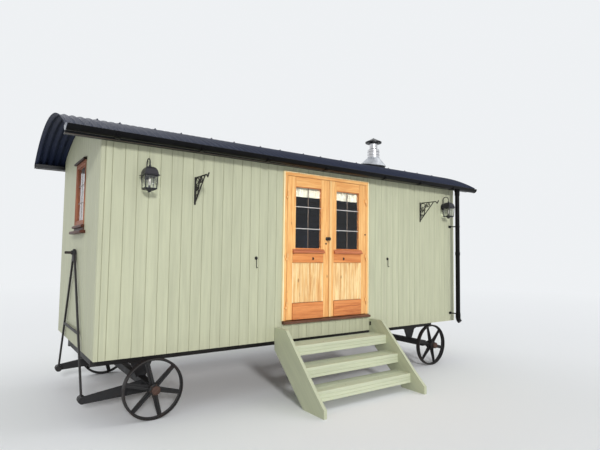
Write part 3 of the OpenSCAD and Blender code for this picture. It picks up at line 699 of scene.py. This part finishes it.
def leaf_frame(leaf):
    """Stiles, rails, and a core coloured dark as painted shade, which shows in their seams."""
    stiles, rails, core = Shape(), Shape(), Shape()
    outline = [
        (0, LEAF_BOT), (PANEL_X, LEAF_BOT), (PANEL_X, GLASS_BOT),
        (GLASS_X, GLASS_BOT), (GLASS_X, LEAF_TOP), (0, LEAF_TOP),
    ]
    for edge in (outline, [(LEAF_W - x, z) for x, z in outline]):
        stiles.loft([[(leaf.x(x), LEAF_Y + y, z) for x, z in edge] for y in (0, LEAF_T)])
    leaf.box(rails, across(GLASS_W - SEAM_W), (GLASS_TOP, LEAF_TOP), (0, LEAF_T))
    inner = across(PANEL_W - 2 * SEAM_W)
    leaf.box(rails, inner, (PANEL_TOP + SEAM_W, GLASS_BOT), (0, LEAF_T), 1)
    leaf.box(rails, inner, (LEAF_BOT, PANEL_BOT - SEAM_W), (0.001, LEAF_T), 1)
    # The core's near-black brown is painted shade for the depth of the seams.
    for z in ((LEAF_BOT, PANEL_BOT), (PANEL_TOP, GLASS_BOT - 0.002)):
        leaf.box(core, across(PANEL_W + 0.008), z, (0.004, LEAF_T - 0.004))
    leaf.build(core, "core", [SEAM_SHADE], 0.001)
    leaf.build(rails, "rails", [RAIL, MID_RAIL])
    leaf.build(stiles, "stiles", [STILE])


def leaf_panel(leaf):
    """Upright boards with a groove at each joint, on a thinner panel."""
    shape, deep, thin, groove = Shape(), 0.013, 0.018, 0.0014
    width = PANEL_W / PANEL_BOARDS
    for k in range(PANEL_BOARDS):
        a = PANEL_X + k * width + groove
        leaf.box(shape, (a, a + width - 2 * groove), (PANEL_BOT, PANEL_TOP), (deep, LEAF_T - deep))
    leaf.box(shape, across(PANEL_W), (PANEL_BOT, PANEL_TOP), (thin, LEAF_T - thin))
    leaf.build(shape, "panel_boards", [PANEL], 0.0018)


def leaf_kick_and_drip(leaf):
    """The kick board, and the drip rail that stands out under the glass."""
    shape, top = Shape(), PANEL_BOT - SEAM_W
    drip = [
        (0.002, 0), (-0.006, -0.003), (-0.03, -0.033), (-0.035, -0.041), (-0.035, -0.051), (0.002, -0.055),
    ]
    leaf.run(shape, [(y, GLASS_BOT + z) for y, z in drip], PANEL_W + 0.006, 1)
    board = [
        (0.002, LEAF_BOT), (-0.012, LEAF_BOT), (-0.012, top - 0.01), (-0.009, top - 0.004), (0.002, top),
    ]
    leaf.run(shape, board, PANEL_W - 2 * SEAM_W)
    leaf.build(shape, "kick_and_drip", [KICK, DRIP])


def leaf_beads(leaf):
    """Beads round the panel and the glass, and the meeting strip on the right leaf."""
    shape, wide, slim = Shape(), 0.011, 0.004
    for x in ends(*across(PANEL_W), wide):
        for y in ends(0.004, LEAF_T - 0.004, 0.01):
            leaf.box(shape, x, (PANEL_BOT, PANEL_TOP), y)
    for y in ((0.006, PANE_FRONT), (PANE_BACK, 0.032)):
        for x in ends(*across(GLASS_W), slim):
            leaf.box(shape, x, (GLASS_BOT, GLASS_TOP), y, 2)
        for z in ends(GLASS_BOT, GLASS_TOP, wide):
            leaf.box(shape, across(GLASS_W - 2 * slim), z, y, 2)
    if leaf.side > 0:
        leaf.box(shape, (LEAF_W - 0.04, LEAF_W - 0.004), (LEAF_BOT, LEAF_TOP), (-0.008, 0), 1)
    leaf.build(shape, "beads", [BEAD, MEETING, KICK])


def leaf_pane(leaf):
    low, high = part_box(f"{leaf.node}_glass")
    shape = Shape()
    leaf.box(shape, across(GLASS_W + 0.008), (low.z, high.z), (low.y - LEAF_Y, high.y - LEAF_Y))
    shape.build(f"{leaf.node}_pane", [PANE], "window_glass", 0.0008, (f"{leaf.node}_glass",), leaf.node)


def leaf_bars(leaf):
    """Slim bars on both faces of the glass: two across, and a lower one upright."""
    shape, half, slim = Shape(), 0.0045, 0.0036
    faces = (((0.01, PANE_FRONT), (0.0116, PANE_FRONT)), ((PANE_BACK, 0.028), (PANE_BACK, 0.0264)))
    for thick, thin in faces:
        for z in BAR_HEIGHTS:
            leaf.box(shape, across(GLASS_W - 0.008), (z - half, z + half), thick)
        leaf.box(shape, across(2 * slim), (GLASS_BOT + 0.011, GLASS_TOP - 0.011), thin, 1)
    leaf.build(shape, "glazing_bars", [BAR, BROWN_BAR], 0.001, replaces=False)


def leaf_blind(leaf):
    """A blind gathered up behind the top panes, hung from a rail on the leaf's inner face."""
    width, drop, folds, amount, gathers = GLASS_W + 0.02, 0.135, 15, 0.004, 1.12
    columns, rows = folds * 8, 6
    y0, top = LEAF_Y + LEAF_T + 0.007, GLASS_TOP + 0.01
    points, faces = [], []
    for row in range(rows + 1):
        fall = row / rows
        for column in range(columns + 1):
            share = column / columns
            wave = amount * (0.5 + 0.5 * fall) * sin(2 * pi * folds * share)
            hem = 0.0015 * fall * sin(2 * pi * 2.5 * share + leaf.side)
            x = leaf.x((LEAF_W - width) / 2 + width * share)
            points.append((x, y0 + wave + 0.003, top - drop * fall + hem))
    for row in range(rows):
        for column in range(columns):
            a = row * (columns + 1) + column
            faces.append((a, a + 1, a + columns + 2, a + columns + 1))
    mesh = bpy.data.meshes.new(f"{leaf.node}_blind")
    mesh.from_pydata(points, [], faces)
    mesh.materials.append(COTTON)
    mesh.polygons.foreach_set("use_smooth", [True] * len(faces))
    cloth = put(f"{leaf.node}_blind", mesh)
    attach(cloth, leaf.node)
    rail = Shape()
    leaf.box(rail, across(width + 0.02), (top - 0.004, top + 0.012), (LEAF_T, LEAF_T + 0.018))
    leaf.build(rail, "blind_rail", [BAR], 0.002, replaces=False)


def leaf_eye(leaf):
    """The eye on the middle rail that a wall hook drops into when the leaf is open."""
    shape = Shape()
    x, z, out, loop = leaf.x(0.401), 1.628, 0.011, 0.009
    shape.box((x - 0.01, LEAF_Y - 0.0025, z - 0.018), (x + 0.01, LEAF_Y + 0.001, z + 0.018))
    turns = [k * pi / 8 for k in range(17)]
    shape.tube([(x, LEAF_Y - out - loop * cos(a), z + loop * sin(a)) for a in turns], 0.0032)
    leaf.build(shape, "eye", [BLACK], 0.001, "black_iron", replaces=False)


def door_leaf(leaf):
    leaf_frame(leaf)
    leaf_panel(leaf)
    leaf_kick_and_drip(leaf)
    leaf_beads(leaf)
    leaf_pane(leaf)
    leaf_bars(leaf)
    leaf_blind(leaf)
    leaf_eye(leaf)


def door_frame():
    """Rebated jambs with a head across them."""
    low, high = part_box("door_frame")
    jamb, lip, rebate = 0.045, 0.06, 0.035
    section = [(0, PROUD), (jamb, PROUD), (jamb, rebate), (lip, rebate), (lip, WALL_T), (0, WALL_T)]
    shape = Shape()
    for start, way in ((low.x, 1), (high.x, -1)):
        ring = [(start + way * x, FRONT + y) for x, y in section]
        shape.loft([[(x, y, z) for x, y in ring] for z in (low.z, high.z - jamb)])
    head = [(LEAF_Y, high.z), (LEAF_Y, high.z - jamb), (high.y, high.z - jamb), (high.y, high.z)]
    shape.run_x(head, low.x, high.x, 1)
    shape.box((low.x + lip, FRONT + rebate, high.z - lip), (high.x - lip, high.y, high.z - jamb), 1)
    shape.build("door_frame_timbers", [STILE, RAIL], "oiled_timber", 0.002, ("door_frame",))


def doorway():
    """Beads over the frame's joint with the boards, the catch on the jamb, and the CAD nodes' looks."""
    low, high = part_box("door_frame")
    beads, catch = Shape(), Shape()
    proud, cover = LEAF_Y - 0.006, 0.009
    for a, b in ((low.x - 0.01, low.x + cover), (high.x - cover, high.x + 0.01)):
        beads.box((a, proud, low.z + 0.002), (b, FRONT + 0.001, high.z + 0.004))
    beads.box((low.x + cover, proud, high.z - 0.006), (high.x - cover, FRONT + 0.001, high.z + 0.007))
    beads.build("door_frame_beads", [BEAD], "oiled_timber", 0.002)
    button = [(0.011, 0), (0.011, 0.003), (0.007, 0.007), (0.001, 0.008)]
    catch.lathe(button, (0.735, LEAF_Y, 1.965), (0, -1, 0), 16)
    catch.build("jamb_catch", [BLACK], "black_iron")
    give(SILL, "threshold")
    give(BLACK, "door_knob")
    give(IRON, "door_hooks")
    give(STAINED, "hinge_pins", "door_left_hinges", "door_right_hinges")


def window_outline():
    """Outer edges of the left window's frame: low y, high y, low z and high z."""
    low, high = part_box("left_window_glass")
    edge = 0.07 - 0.024
    return low.y - edge, high.y + edge, low.z - edge, high.z + edge


def add_frame(shape, outline, width, xs):
    """Four members round an opening: uprights in the first look and rails in the second."""
    y0, y1, z0, z1 = outline
    for y in (y0, y1 - width):
        shape.box((xs[0], y, z0), (xs[1], y + width, z1))
    for z in (z0, z1 - width):
        shape.box((xs[0], y0 + width, z), (xs[1], y1 - width, z + width), 1)


def inset(outline, amount):
    y0, y1, z0, z1 = outline
    return y0 + amount, y1 - amount, z0 + amount, z1 - amount


def left_window():
    """Slim lining, casement, putty and pane, with a hood over it and a stepped sill under it."""
    node, face, outer = "left_window_frame", BODY_LOW.x, window_outline()
    lining_w, casement_w, putty_w = 0.02, 0.03, 0.009
    front, back = face + 0.0138, face + 0.0202
    timbers, putty, pane, bars = (Shape() for _ in range(4))
    add_frame(timbers, outer, lining_w, (face - 0.011, face + WALL_T))
    casement = inset(outer, lining_w + 0.001)
    add_frame(timbers, casement, casement_w, (face - 0.005, face + 0.038))
    timbers.build("left_window_timbers", [SHADED_UPRIGHT, SHADED_CROSS], "oiled_timber", 0.0015, (node,))
    sight = inset(casement, casement_w)
    add_frame(putty, sight, putty_w, (face + 0.006, front))
    add_frame(putty, sight, putty_w, (back, face + 0.028))
    putty.build("left_window_beads", [SHADED_UPRIGHT, SHADED_CROSS], "oiled_timber", 0.002, (node,))
    y0, y1, z0, z1 = inset(sight, -0.004)
    pane.box((face + 0.014, y0, z0), (face + 0.02, y1, z1))
    pane.build("left_window_pane", [SKY_PANE], "window_glass", 0.001, ("left_window_glass",))
    half, lower = 0.0045, 0.0004
    y0, y1, z0, z1 = inset(sight, putty_w)
    middle = (y0 + y1) / 2
    for a, b in ((face + 0.0115, front), (back, face + 0.0225)):
        for k in (1, 2):
            z = z0 + (z1 - z0) * k / 3
            bars.box((a, y0, z - half), (b, y1, z + half))
        bars.box((a + lower, middle - half, z0), (b - lower, middle + half, z1))
    bars.build("left_window_bars", [BROWN_BAR], "oiled_timber", 0.0005)
    window_hood(node, face, outer)
    window_sill(node, face, outer)


def window_hood(node, face, outer):
    """A sloping drip board over the window."""
    y0, y1, _, z1 = outer
    shape, past = Shape(), 0.018
    profile = [(0.002, 0), (-0.034, -0.002), (-0.038, 0.014), (-0.034, 0.02), (0.002, 0.034)]
    shape.loft([[(face + x, y, z1 + z) for x, z in profile] for y in (y0 - past, y1 + past)])
    shape.build("left_window_hood", [SHADED_HOOD], "oiled_timber", 0.002, (node,))


def window_sill(node, face, outer):
    """A sloping sill, a block under it, and a wider ledge with round corners."""
    y0, y1, z0, _ = outer
    shape, past = Shape(), 0.014
    profile = [
        (0.002, -0.03), (-0.032, -0.03), (-0.036, -0.024), (-0.034, -0.006), (-0.01, 0.004), (0.002, 0.004),
    ]
    shape.loft([[(face + x, y, z0 + z) for x, z in profile] for y in (y0 - past, y1 + past)])
    shape.box((face - 0.012, y0 - 0.006, z0 - 0.062), (face + 0.001, y1 + 0.006, z0 - 0.029))
    reach, corner, wider = 0.054, 0.024, 0.086
    rings = []
    for z, less in ((-0.095, 0.005), (-0.09, 0), (-0.069, 0), (-0.062, 0.006)):
        ring = [(face + 0.001, y0 - wider + less), (face + 0.001, y1 + wider - less)]
        for middle, start in ((y1 + wider - corner, 0), (y0 - wider + corner, pi / 2)):
            for k in range(7):
                a = start + pi / 12 * k
                r = corner - less
                ring.append((face - reach + corner - r * sin(a), middle + r * cos(a)))
        rings.append([(x, y, z0 + z) for x, y in ring])
    shape.loft(rings)
    shape.build("left_window_sill", [SHADED_LEDGE], "oiled_timber", 0.0015, (node,))


def eaves():
    """Fascia boards black on their face and bare on their edges, with dark soffits."""
    low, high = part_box("eaves")
    outer, thick, skin, foot = high.y - MID_Y, 0.02, 0.002, low.z + 0.025
    # Depths behind the face, how much shorter than the node, heights, and the look
    strips = (
        (skin, thick - skin, 0.001, foot, high.z - 0.001, 0),
        (0, skin, 0, foot + 0.001, high.z, 1),
        (thick - skin, thick, 0, foot + 0.001, high.z, 1),
        (thick, outer - HALF_W - 0.0005, 0.003, foot + 0.004, foot + 0.016, 1),
    )
    shape = Shape()
    for side in (-1, 1):
        for near, far, short, z0, z1, slot in strips:
            y0, y1 = (MID_Y + side * (outer - depth) for depth in (near, far))
            shape.box((low.x + short, y0, z0), (high.x - short, y1, z1), slot)
    shape.build("eaves_boards", [RAW_EDGE, FASCIA], "roof_sheet", 0.0008, ("eaves",))


def channel(y, z, outer, inner, cut=0):
    """Outline of a half-round channel that is open upwards; cut takes an angle off each side."""
    points = 14
    turns = [pi + cut + (pi - 2 * cut) * k / points for k in range(points + 1)]
    ring = [(y + outer * cos(a), z + outer * sin(a)) for a in turns]
    if inner is None:
        return ring
    return ring + [(y + inner * cos(a), z + inner * sin(a)) for a in reversed(turns)]


def gutter_level(x):
    """Height of a gutter's rim, which falls to the outlet."""
    low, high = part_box("gutters")
    return high.z + GUTTER_RISE - GUTTER_FALL * (x - low.x) / (high.x - low.x)


def gutter(side, word):
    """A half-round gutter with a rolled lip, stop ends, brackets and an outlet."""
    low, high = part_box("gutters")
    y, top = MID_Y + side * GUTTER_Y, gutter_level(PIPE_X)
    shape = Shape()

    def run(x0, x1, outer, inner, cut=0):
        shape.loft([[(x, *p) for p in channel(y, gutter_level(x), outer, inner, cut)] for x in (x0, x1)])

    run(low.x, high.x, GUTTER_R, GUTTER_R - GUTTER_T)
    for x in (low.x - 0.012, high.x + 0.007):
        # Only the front-left stop end takes the pale grey: a painted highlight, for the glint on it.
        pale = side < 0 and x < 0
        shape.run_x(channel(y, gutter_level(x), GUTTER_R + 0.002, None), x, x + 0.005, int(pale))
    lip = y + side * (GUTTER_R - 0.003)
    shape.tube([(x, lip, gutter_level(x) - 0.003) for x in (low.x, high.x)], 0.005, 10)
    for x in CLIP_XS:
        run(x - 0.022, x + 0.022, GUTTER_R + 0.01, GUTTER_R - 0.001, 0.5)
    socket = PIPE_R + 0.005
    outlet = [(socket, -0.14), (socket, -0.08), (0.043, -0.07), (0.046, -0.05)]
    shape.lathe([(r, top + z) for r, z in outlet], (PIPE_X, y, 0), sides=28)
    shape.build(f"gutter_{word}", [GUTTER, GLINT_STOP_END], "black_gutter", 0, ("gutters",))


def downpipe(side, word):
    """A straight pipe with a joint, a shoe that turns out at the foot, and two clips to the wall."""
    y, wall_y = MID_Y + side * GUTTER_Y, MID_Y + side * HALF_W
    shape = Shape()

    def turned(*profile):
        shape.lathe(profile, (PIPE_X, y, 0), sides=28)

    turned((PIPE_R, PIPE_FOOT + 0.05), (PIPE_R, gutter_level(PIPE_X) - 0.07))
    for z in (PIPE_FOOT + 0.055, PIPE_FOOT + 1.05):
        turned((PIPE_R + 0.004, z), (PIPE_R + 0.005, z + 0.05), (PIPE_R, z + 0.055))
    out, drop, last = 0.055, 0.06, radians(50)
    bend = [k * last / 6 for k in range(7)]
    path = [
        (PIPE_X, y + side * out * (1 - cos(a)), PIPE_FOOT + drop - drop * sin(a)) for a in bend
    ]
    lip = Vector(path[-1]) + Vector((0, side * sin(last), -cos(last))) * 0.017
    shape.tube([*path, lip], PIPE_R + 0.002, 28)
    for z in (PIPE_FOOT + 0.12, PIPE_FOOT + 1.515):
        turned((PIPE_R + 0.003, z - 0.012), (PIPE_R + 0.005, z), (PIPE_R + 0.003, z + 0.012))
        shape.box((PIPE_X - 0.008, wall_y, z - 0.008), (PIPE_X + 0.008, y - side * PIPE_R, z + 0.008))
        shape.box((PIPE_X - 0.03, wall_y, z - 0.02), (PIPE_X + 0.03, wall_y + side * 0.004, z + 0.02))
    shape.build(f"downpipe_{word}", [GUTTER], "black_gutter", 0, ("downpipes",))


def rainwater():
    for side, word in ((-1, "front"), (1, "back")):
        gutter(side, word)
        downpipe(side, word)


def tow_bar():
    """Slim flat-bar legs, a tie, a gusseted head with its pin, and a boss on each hinge."""
    low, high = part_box("tow_bar")
    x = high.x - 0.05
    foot_y, foot_z = (high.y - low.y) / 2 - 0.035, low.z + 0.05
    head_z, tie_z = 1.668, 0.815
    apex_y, half_w = 0.026, 0.015
    deep = Vector((0.01, 0, 0))
    boss = [(0.032, -0.035), (0.038, -0.031), (0.038, 0.031), (0.032, 0.035)]
    nut = [(0.014, 0.034), (0.014, 0.044), (0.009, 0.047)]
    head = [(0.036, -0.016), (0.041, -0.01), (0.041, 0.01), (0.034, 0.016), (0.024, 0.02), (0.024, 0.032)]
    gusset = [(-0.072, -0.1), (0.072, -0.1), (0.034, 0.01), (-0.034, 0.01)]
    shape, pin = Shape(), Shape()
    slope = Vector((0, foot_y - apex_y, head_z - foot_z)).normalized()
    for side in (-1, 1):
        wide = Vector((0, slope.z, side * slope.y)) * half_w
        rings = []
        for y, z in ((foot_y, foot_z), (apex_y, head_z - 0.01)):
            middle = at(x, side * y, z)
            corners = (deep + wide, deep - wide, -deep - wide, wide - deep)
            rings.append([middle + corner for corner in corners])
        shape.loft(rings)
        hinge = at(x, side * foot_y, foot_z)
        shape.lathe(boss, hinge, (0, 1, 0), 28)
        shape.lathe(nut, hinge, (0, side, 0), 6)
    tie_y = foot_y - (foot_y - apex_y) * (tie_z - foot_z) / (head_z - foot_z)
    shape.box(at(x - 0.006, -tie_y, tie_z - 0.015), at(x + 0.006, tie_y, tie_z + 0.015))
    shape.loft([[at(x + d, y, head_z + z) for y, z in gusset] for d in (-0.014, 0.004)])
    shape.lathe(head, at(x, 0, head_z), (-1, 0, 0), 28)
    shape.build("tow_bar_frame", [IRON], "black_iron", 0.002, ("tow_bar",), "tow_bar")
    pin.lathe([(0.015, 0.03), (0.015, 0.094), (0.011, 0.098)], at(x, 0, head_z), (-1, 0, 0))
    pin.build("tow_bar_pin", [WHEEL_IRON], "black_iron", 0, ("tow_bar",), "tow_bar")


def steps():
    """Treads with two fine grooves along each fascia and one on top, and screw heads over the stringers."""
    groove, deep, fascia_t, board_t = 0.0045, 0.006, 0.024, 0.028
    screw = [(0.0045, -0.001), (0.0045, 0.0004), (0.002, 0.0006)]
    screws = Shape()
    for word in ("top", "middle", "bottom"):
        node = f"step_tread_{word}"
        low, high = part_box(node)
        y, z = low.y, high.z
        outline = [(y + fascia_t, low.z), (y + 0.002, low.z), (y, low.z + 0.002)]
        for middle in (z - 0.078, z - 0.041):
            outline += [(y, middle - groove), (y + deep, middle), (y, middle + groove)]
        outline += [(y, z - 0.005), (y + 0.005, z), (y + 0.122, z), (y + 0.124, z - 0.004), (y + 0.126, z)]
        outline += [(high.y, z), (high.y, z - board_t), (y + fascia_t, z - board_t)]
        shape = Shape()
        shape.run_x(outline, low.x, high.x)
        shape.build(f"tread_{word}", [SAGE_TRIM], "sage_boards", 0.001, (node,))
        for x in (low.x + 0.03, low.x + 0.5, high.x - 0.5, high.x - 0.03):
            for depth in (0.06, 0.19):
                screws.lathe(screw, (x, y + depth, z), sides=10)
    screws.build("tread_screws", [IRON], "black_iron")
    give(STRINGER, "step_stringer_left", "step_stringer_right")


def hub_caps():
    """A domed cap on each wheel's hub, and bolt heads round the hub's band."""
    cap = [(0.043, -0.004), (0.044, 0.01), (0.043, 0.022), (0.036, 0.028), (0.02, 0.031), (0.001, 0.032)]
    bolt, bolts, ring_r, back = [(0.0065, -0.004), (0.0065, 0.005), (0.004, 0.007)], 6, 0.05, 0.02
    for name in WHEELS:
        node = f"wheel_{name}"
        low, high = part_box(node)
        out = -1 if "near" in name else 1
        centre = Vector(((low.x + high.x) / 2, low.y if out < 0 else high.y, (low.z + high.z) / 2))
        shape = Shape()
        shape.lathe(cap, centre, (0, out, 0), 28)
        for k in range(bolts):
            a = 2 * pi / bolts * k + pi / 12
            spot = centre + Vector((ring_r * cos(a), -out * back, ring_r * sin(a)))
            shape.lathe(bolt, spot, (0, out, 0), 6)
        shape.build(f"hub_{name}", [RUSTY], "black_iron", body=node)
    give(WHEEL_IRON, *(f"wheel_{name}" for name in WHEELS))


def lanterns():
    """Bulb and holder inside each lantern."""
    stem = [(0.018, 0), (0.018, 0.012), (0.011, 0.016), (0.011, 0.034)]
    flame = [
        (0.009, 0.032), (0.012, 0.044), (0.015, 0.062), (0.014, 0.078),
        (0.009, 0.1), (0.004, 0.116), (0.001, 0.12),
    ]
    for word, x in zip(("left", "right"), LAMP_XS):
        bulb, holder = Shape(), Shape()
        holder.lathe(stem, at(x, LAMP_Y, LAMP_Z), sides=20)
        bulb.lathe(flame, at(x, LAMP_Y, LAMP_Z))
        holder.build(f"lamp_holder_{word}", [PEWTER], "lantern_metal")
        bulb.build(f"lamp_bulb_{word}", [BULB], "lantern_glass")
    give(PEWTER, "lanterns")
    give(LAMP_GLASS, "lantern_glasses")


def bracket_scrolls():
    """Curled iron and leaves inside the frame of each basket bracket."""
    scrolls = ((-0.06, 2.4, 0.034, 0.4), (-0.125, 2.446, 0.026, 2.2), (-0.04, 2.3, 0.026, 4))
    leaves = ((-0.03, 2.35, 0.6), (-0.085, 2.36, 1.1), (-0.1, 2.42, 2), (-0.165, 2.455, 1.4))
    points, turn, shrink, leaf_l = 23, 0.42, 0.03, 0.042
    shape = Shape()
    for x in BRACKET_XS:
        for reach, rise, size, start in scrolls:
            path = []
            for k in range(points):
                a, r = start + k * turn, size * (1 - shrink * k)
                path.append(at(x, -HALF_W + reach + r * cos(a), rise + r * sin(a)))
            shape.tube(path, [0.0042 - 0.0001 * k for k in range(points)], 7)
        for reach, rise, lean in leaves:
            foot = at(x, -HALF_W + reach, rise)
            tip = at(x, -HALF_W + reach - leaf_l * cos(lean), rise + leaf_l * sin(lean))
            path = [foot.lerp(tip, k / 6) for k in range(7)]
            shape.tube(path, [0.002, 0.006, 0.008, 0.0085, 0.007, 0.004, 0.001], 6)
    shape.build("bracket_scrolls", [IRON], "black_iron")
    give(IRON, "basket_brackets")


def step_plates():
    """Small black plates that hold the stringers to the wall, on their inner faces."""
    shape = Shape()
    for x, way in ((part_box("step_stringer_right")[0].x, -1), (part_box("step_stringer_left")[1].x, 1)):
        shape.box((x - way * 0.001, FRONT - 0.036, 0.712), (x + way * 0.004, FRONT - 0.006, 0.762))
    shape.build("step_plates", [BLACK], "black_iron", 0.001)


def other_finishes():
    give(ROOF, "roof_sheet")
    give(laid_boards_look("roof_boarding", (176, 156, 126), (146, 122, 92), 0.1), "roof_shell")
    give(laid_boards_look("floor_boarding", (150, 120, 84), (112, 84, 56), 0.13), "floor_deck")
    give(hood_look(0.024), "flue_flashing")
    give(steel_look(), "flue_pipe")
    give(plain_look("cap_black", (26, 26, 30), 0.32, metal=0.4), "flue_cap")
    give(IRON, "chassis_frame", "front_axle", "rear_axle")


def camera():
    yaw, pitch, roll = CAMERA_YAW, CAMERA_PITCH, CAMERA_ROLL
    ahead = Vector((sin(yaw) * cos(pitch), cos(yaw) * cos(pitch), sin(pitch)))
    level = Vector((cos(yaw), -sin(yaw), 0))
    plumb = level.cross(ahead)
    right = level * cos(roll) + plumb * sin(roll)
    up = plumb * cos(roll) - level * sin(roll)
    data = bpy.data.cameras.new("camera")
    data.sensor_width = SENSOR_MM
    data.lens = SENSOR_MM * FOCAL_PX / PICTURE_W
    made = put("camera", data)
    made.matrix_world = Matrix.Translation(CAMERA_AT) @ Matrix((right, up, -ahead)).transposed().to_4x4()
    bpy.context.scene.camera = made


def world():
    """Soft light from all round, seen as a pale backdrop."""
    made = bpy.data.worlds.new("studio")
    made.use_nodes = True
    tree = made.node_tree
    paths = add_node(tree, "LightPath").outputs
    seen = paths["Is Camera Ray"]
    for kind in ("Is Glossy Ray", "Is Transmission Ray"):
        seen = add_node(tree, "Math", {0: seen, 1: paths[kind]}, operation="MAXIMUM").outputs[0]
    strength = add_node(tree, "MapRange", {"Value": seen, "To Min": WORLD_LIGHT, "To Max": 1})
    back = tree.nodes["Background"].inputs
    back["Color"].default_value = BACKDROP
    tree.links.new(strength.outputs[0], back["Strength"])
    bpy.context.scene.world = made


def lamp(name, ahead, strength, spread):
    """A soft far light that shines along ahead."""
    data = bpy.data.lights.new(name, "SUN")
    data.energy = strength
    data.angle = radians(spread)
    put(name, data).rotation_euler = Vector(ahead).to_track_quat("-Z", "Y").to_euler()


def studio():
    """A pale floor that fades into the backdrop."""
    corners = 64
    turns = [2 * pi * k / corners for k in range(corners)]
    mesh = bpy.data.meshes.new("studio_floor")
    circle = [(FLOOR_RADIUS * cos(a), FLOOR_RADIUS * sin(a), 0) for a in turns]
    mesh.from_pydata(circle, [], [tuple(range(corners))])
    look = Look("studio_floor", 0.9)
    look.shader.inputs["Base Color"].default_value = FLOOR
    flat = look.node("Mapping", {"Vector": look.object, "Scale": (1, 1, 0)}).outputs[0]
    away = look.node("VectorMath", {0: flat}, operation="LENGTH").outputs["Value"]
    fade = look.node("MapRange", {"Value": away, "From Min": FADE_FROM, "From Max": FADE_TO}).outputs[0]
    look.surface(fade, look.node("Emission", {"Color": BACKDROP, "Strength": 1}).outputs[0])
    mesh.materials.append(look.material)
    put("studio_floor", mesh)


camera()
walls()
roof_bolts()
door_leaf(Leaf(-1))
door_leaf(Leaf(1))
door_frame()
doorway()
left_window()
eaves()
rainwater()
tow_bar()
steps()
hub_caps()
lanterns()
bracket_scrolls()
step_plates()
other_finishes()
world()
lamp("key_light", (0.28, 0.88, -0.34), 1.85, 8)
lamp("side_light", (-0.55, 0.1, -0.75), 0.45, 40)
lamp("back_light", (0.15, -0.8, -0.55), 0.45, 40)
studio()
bpy.context.scene.view_settings.view_transform = "Standard"
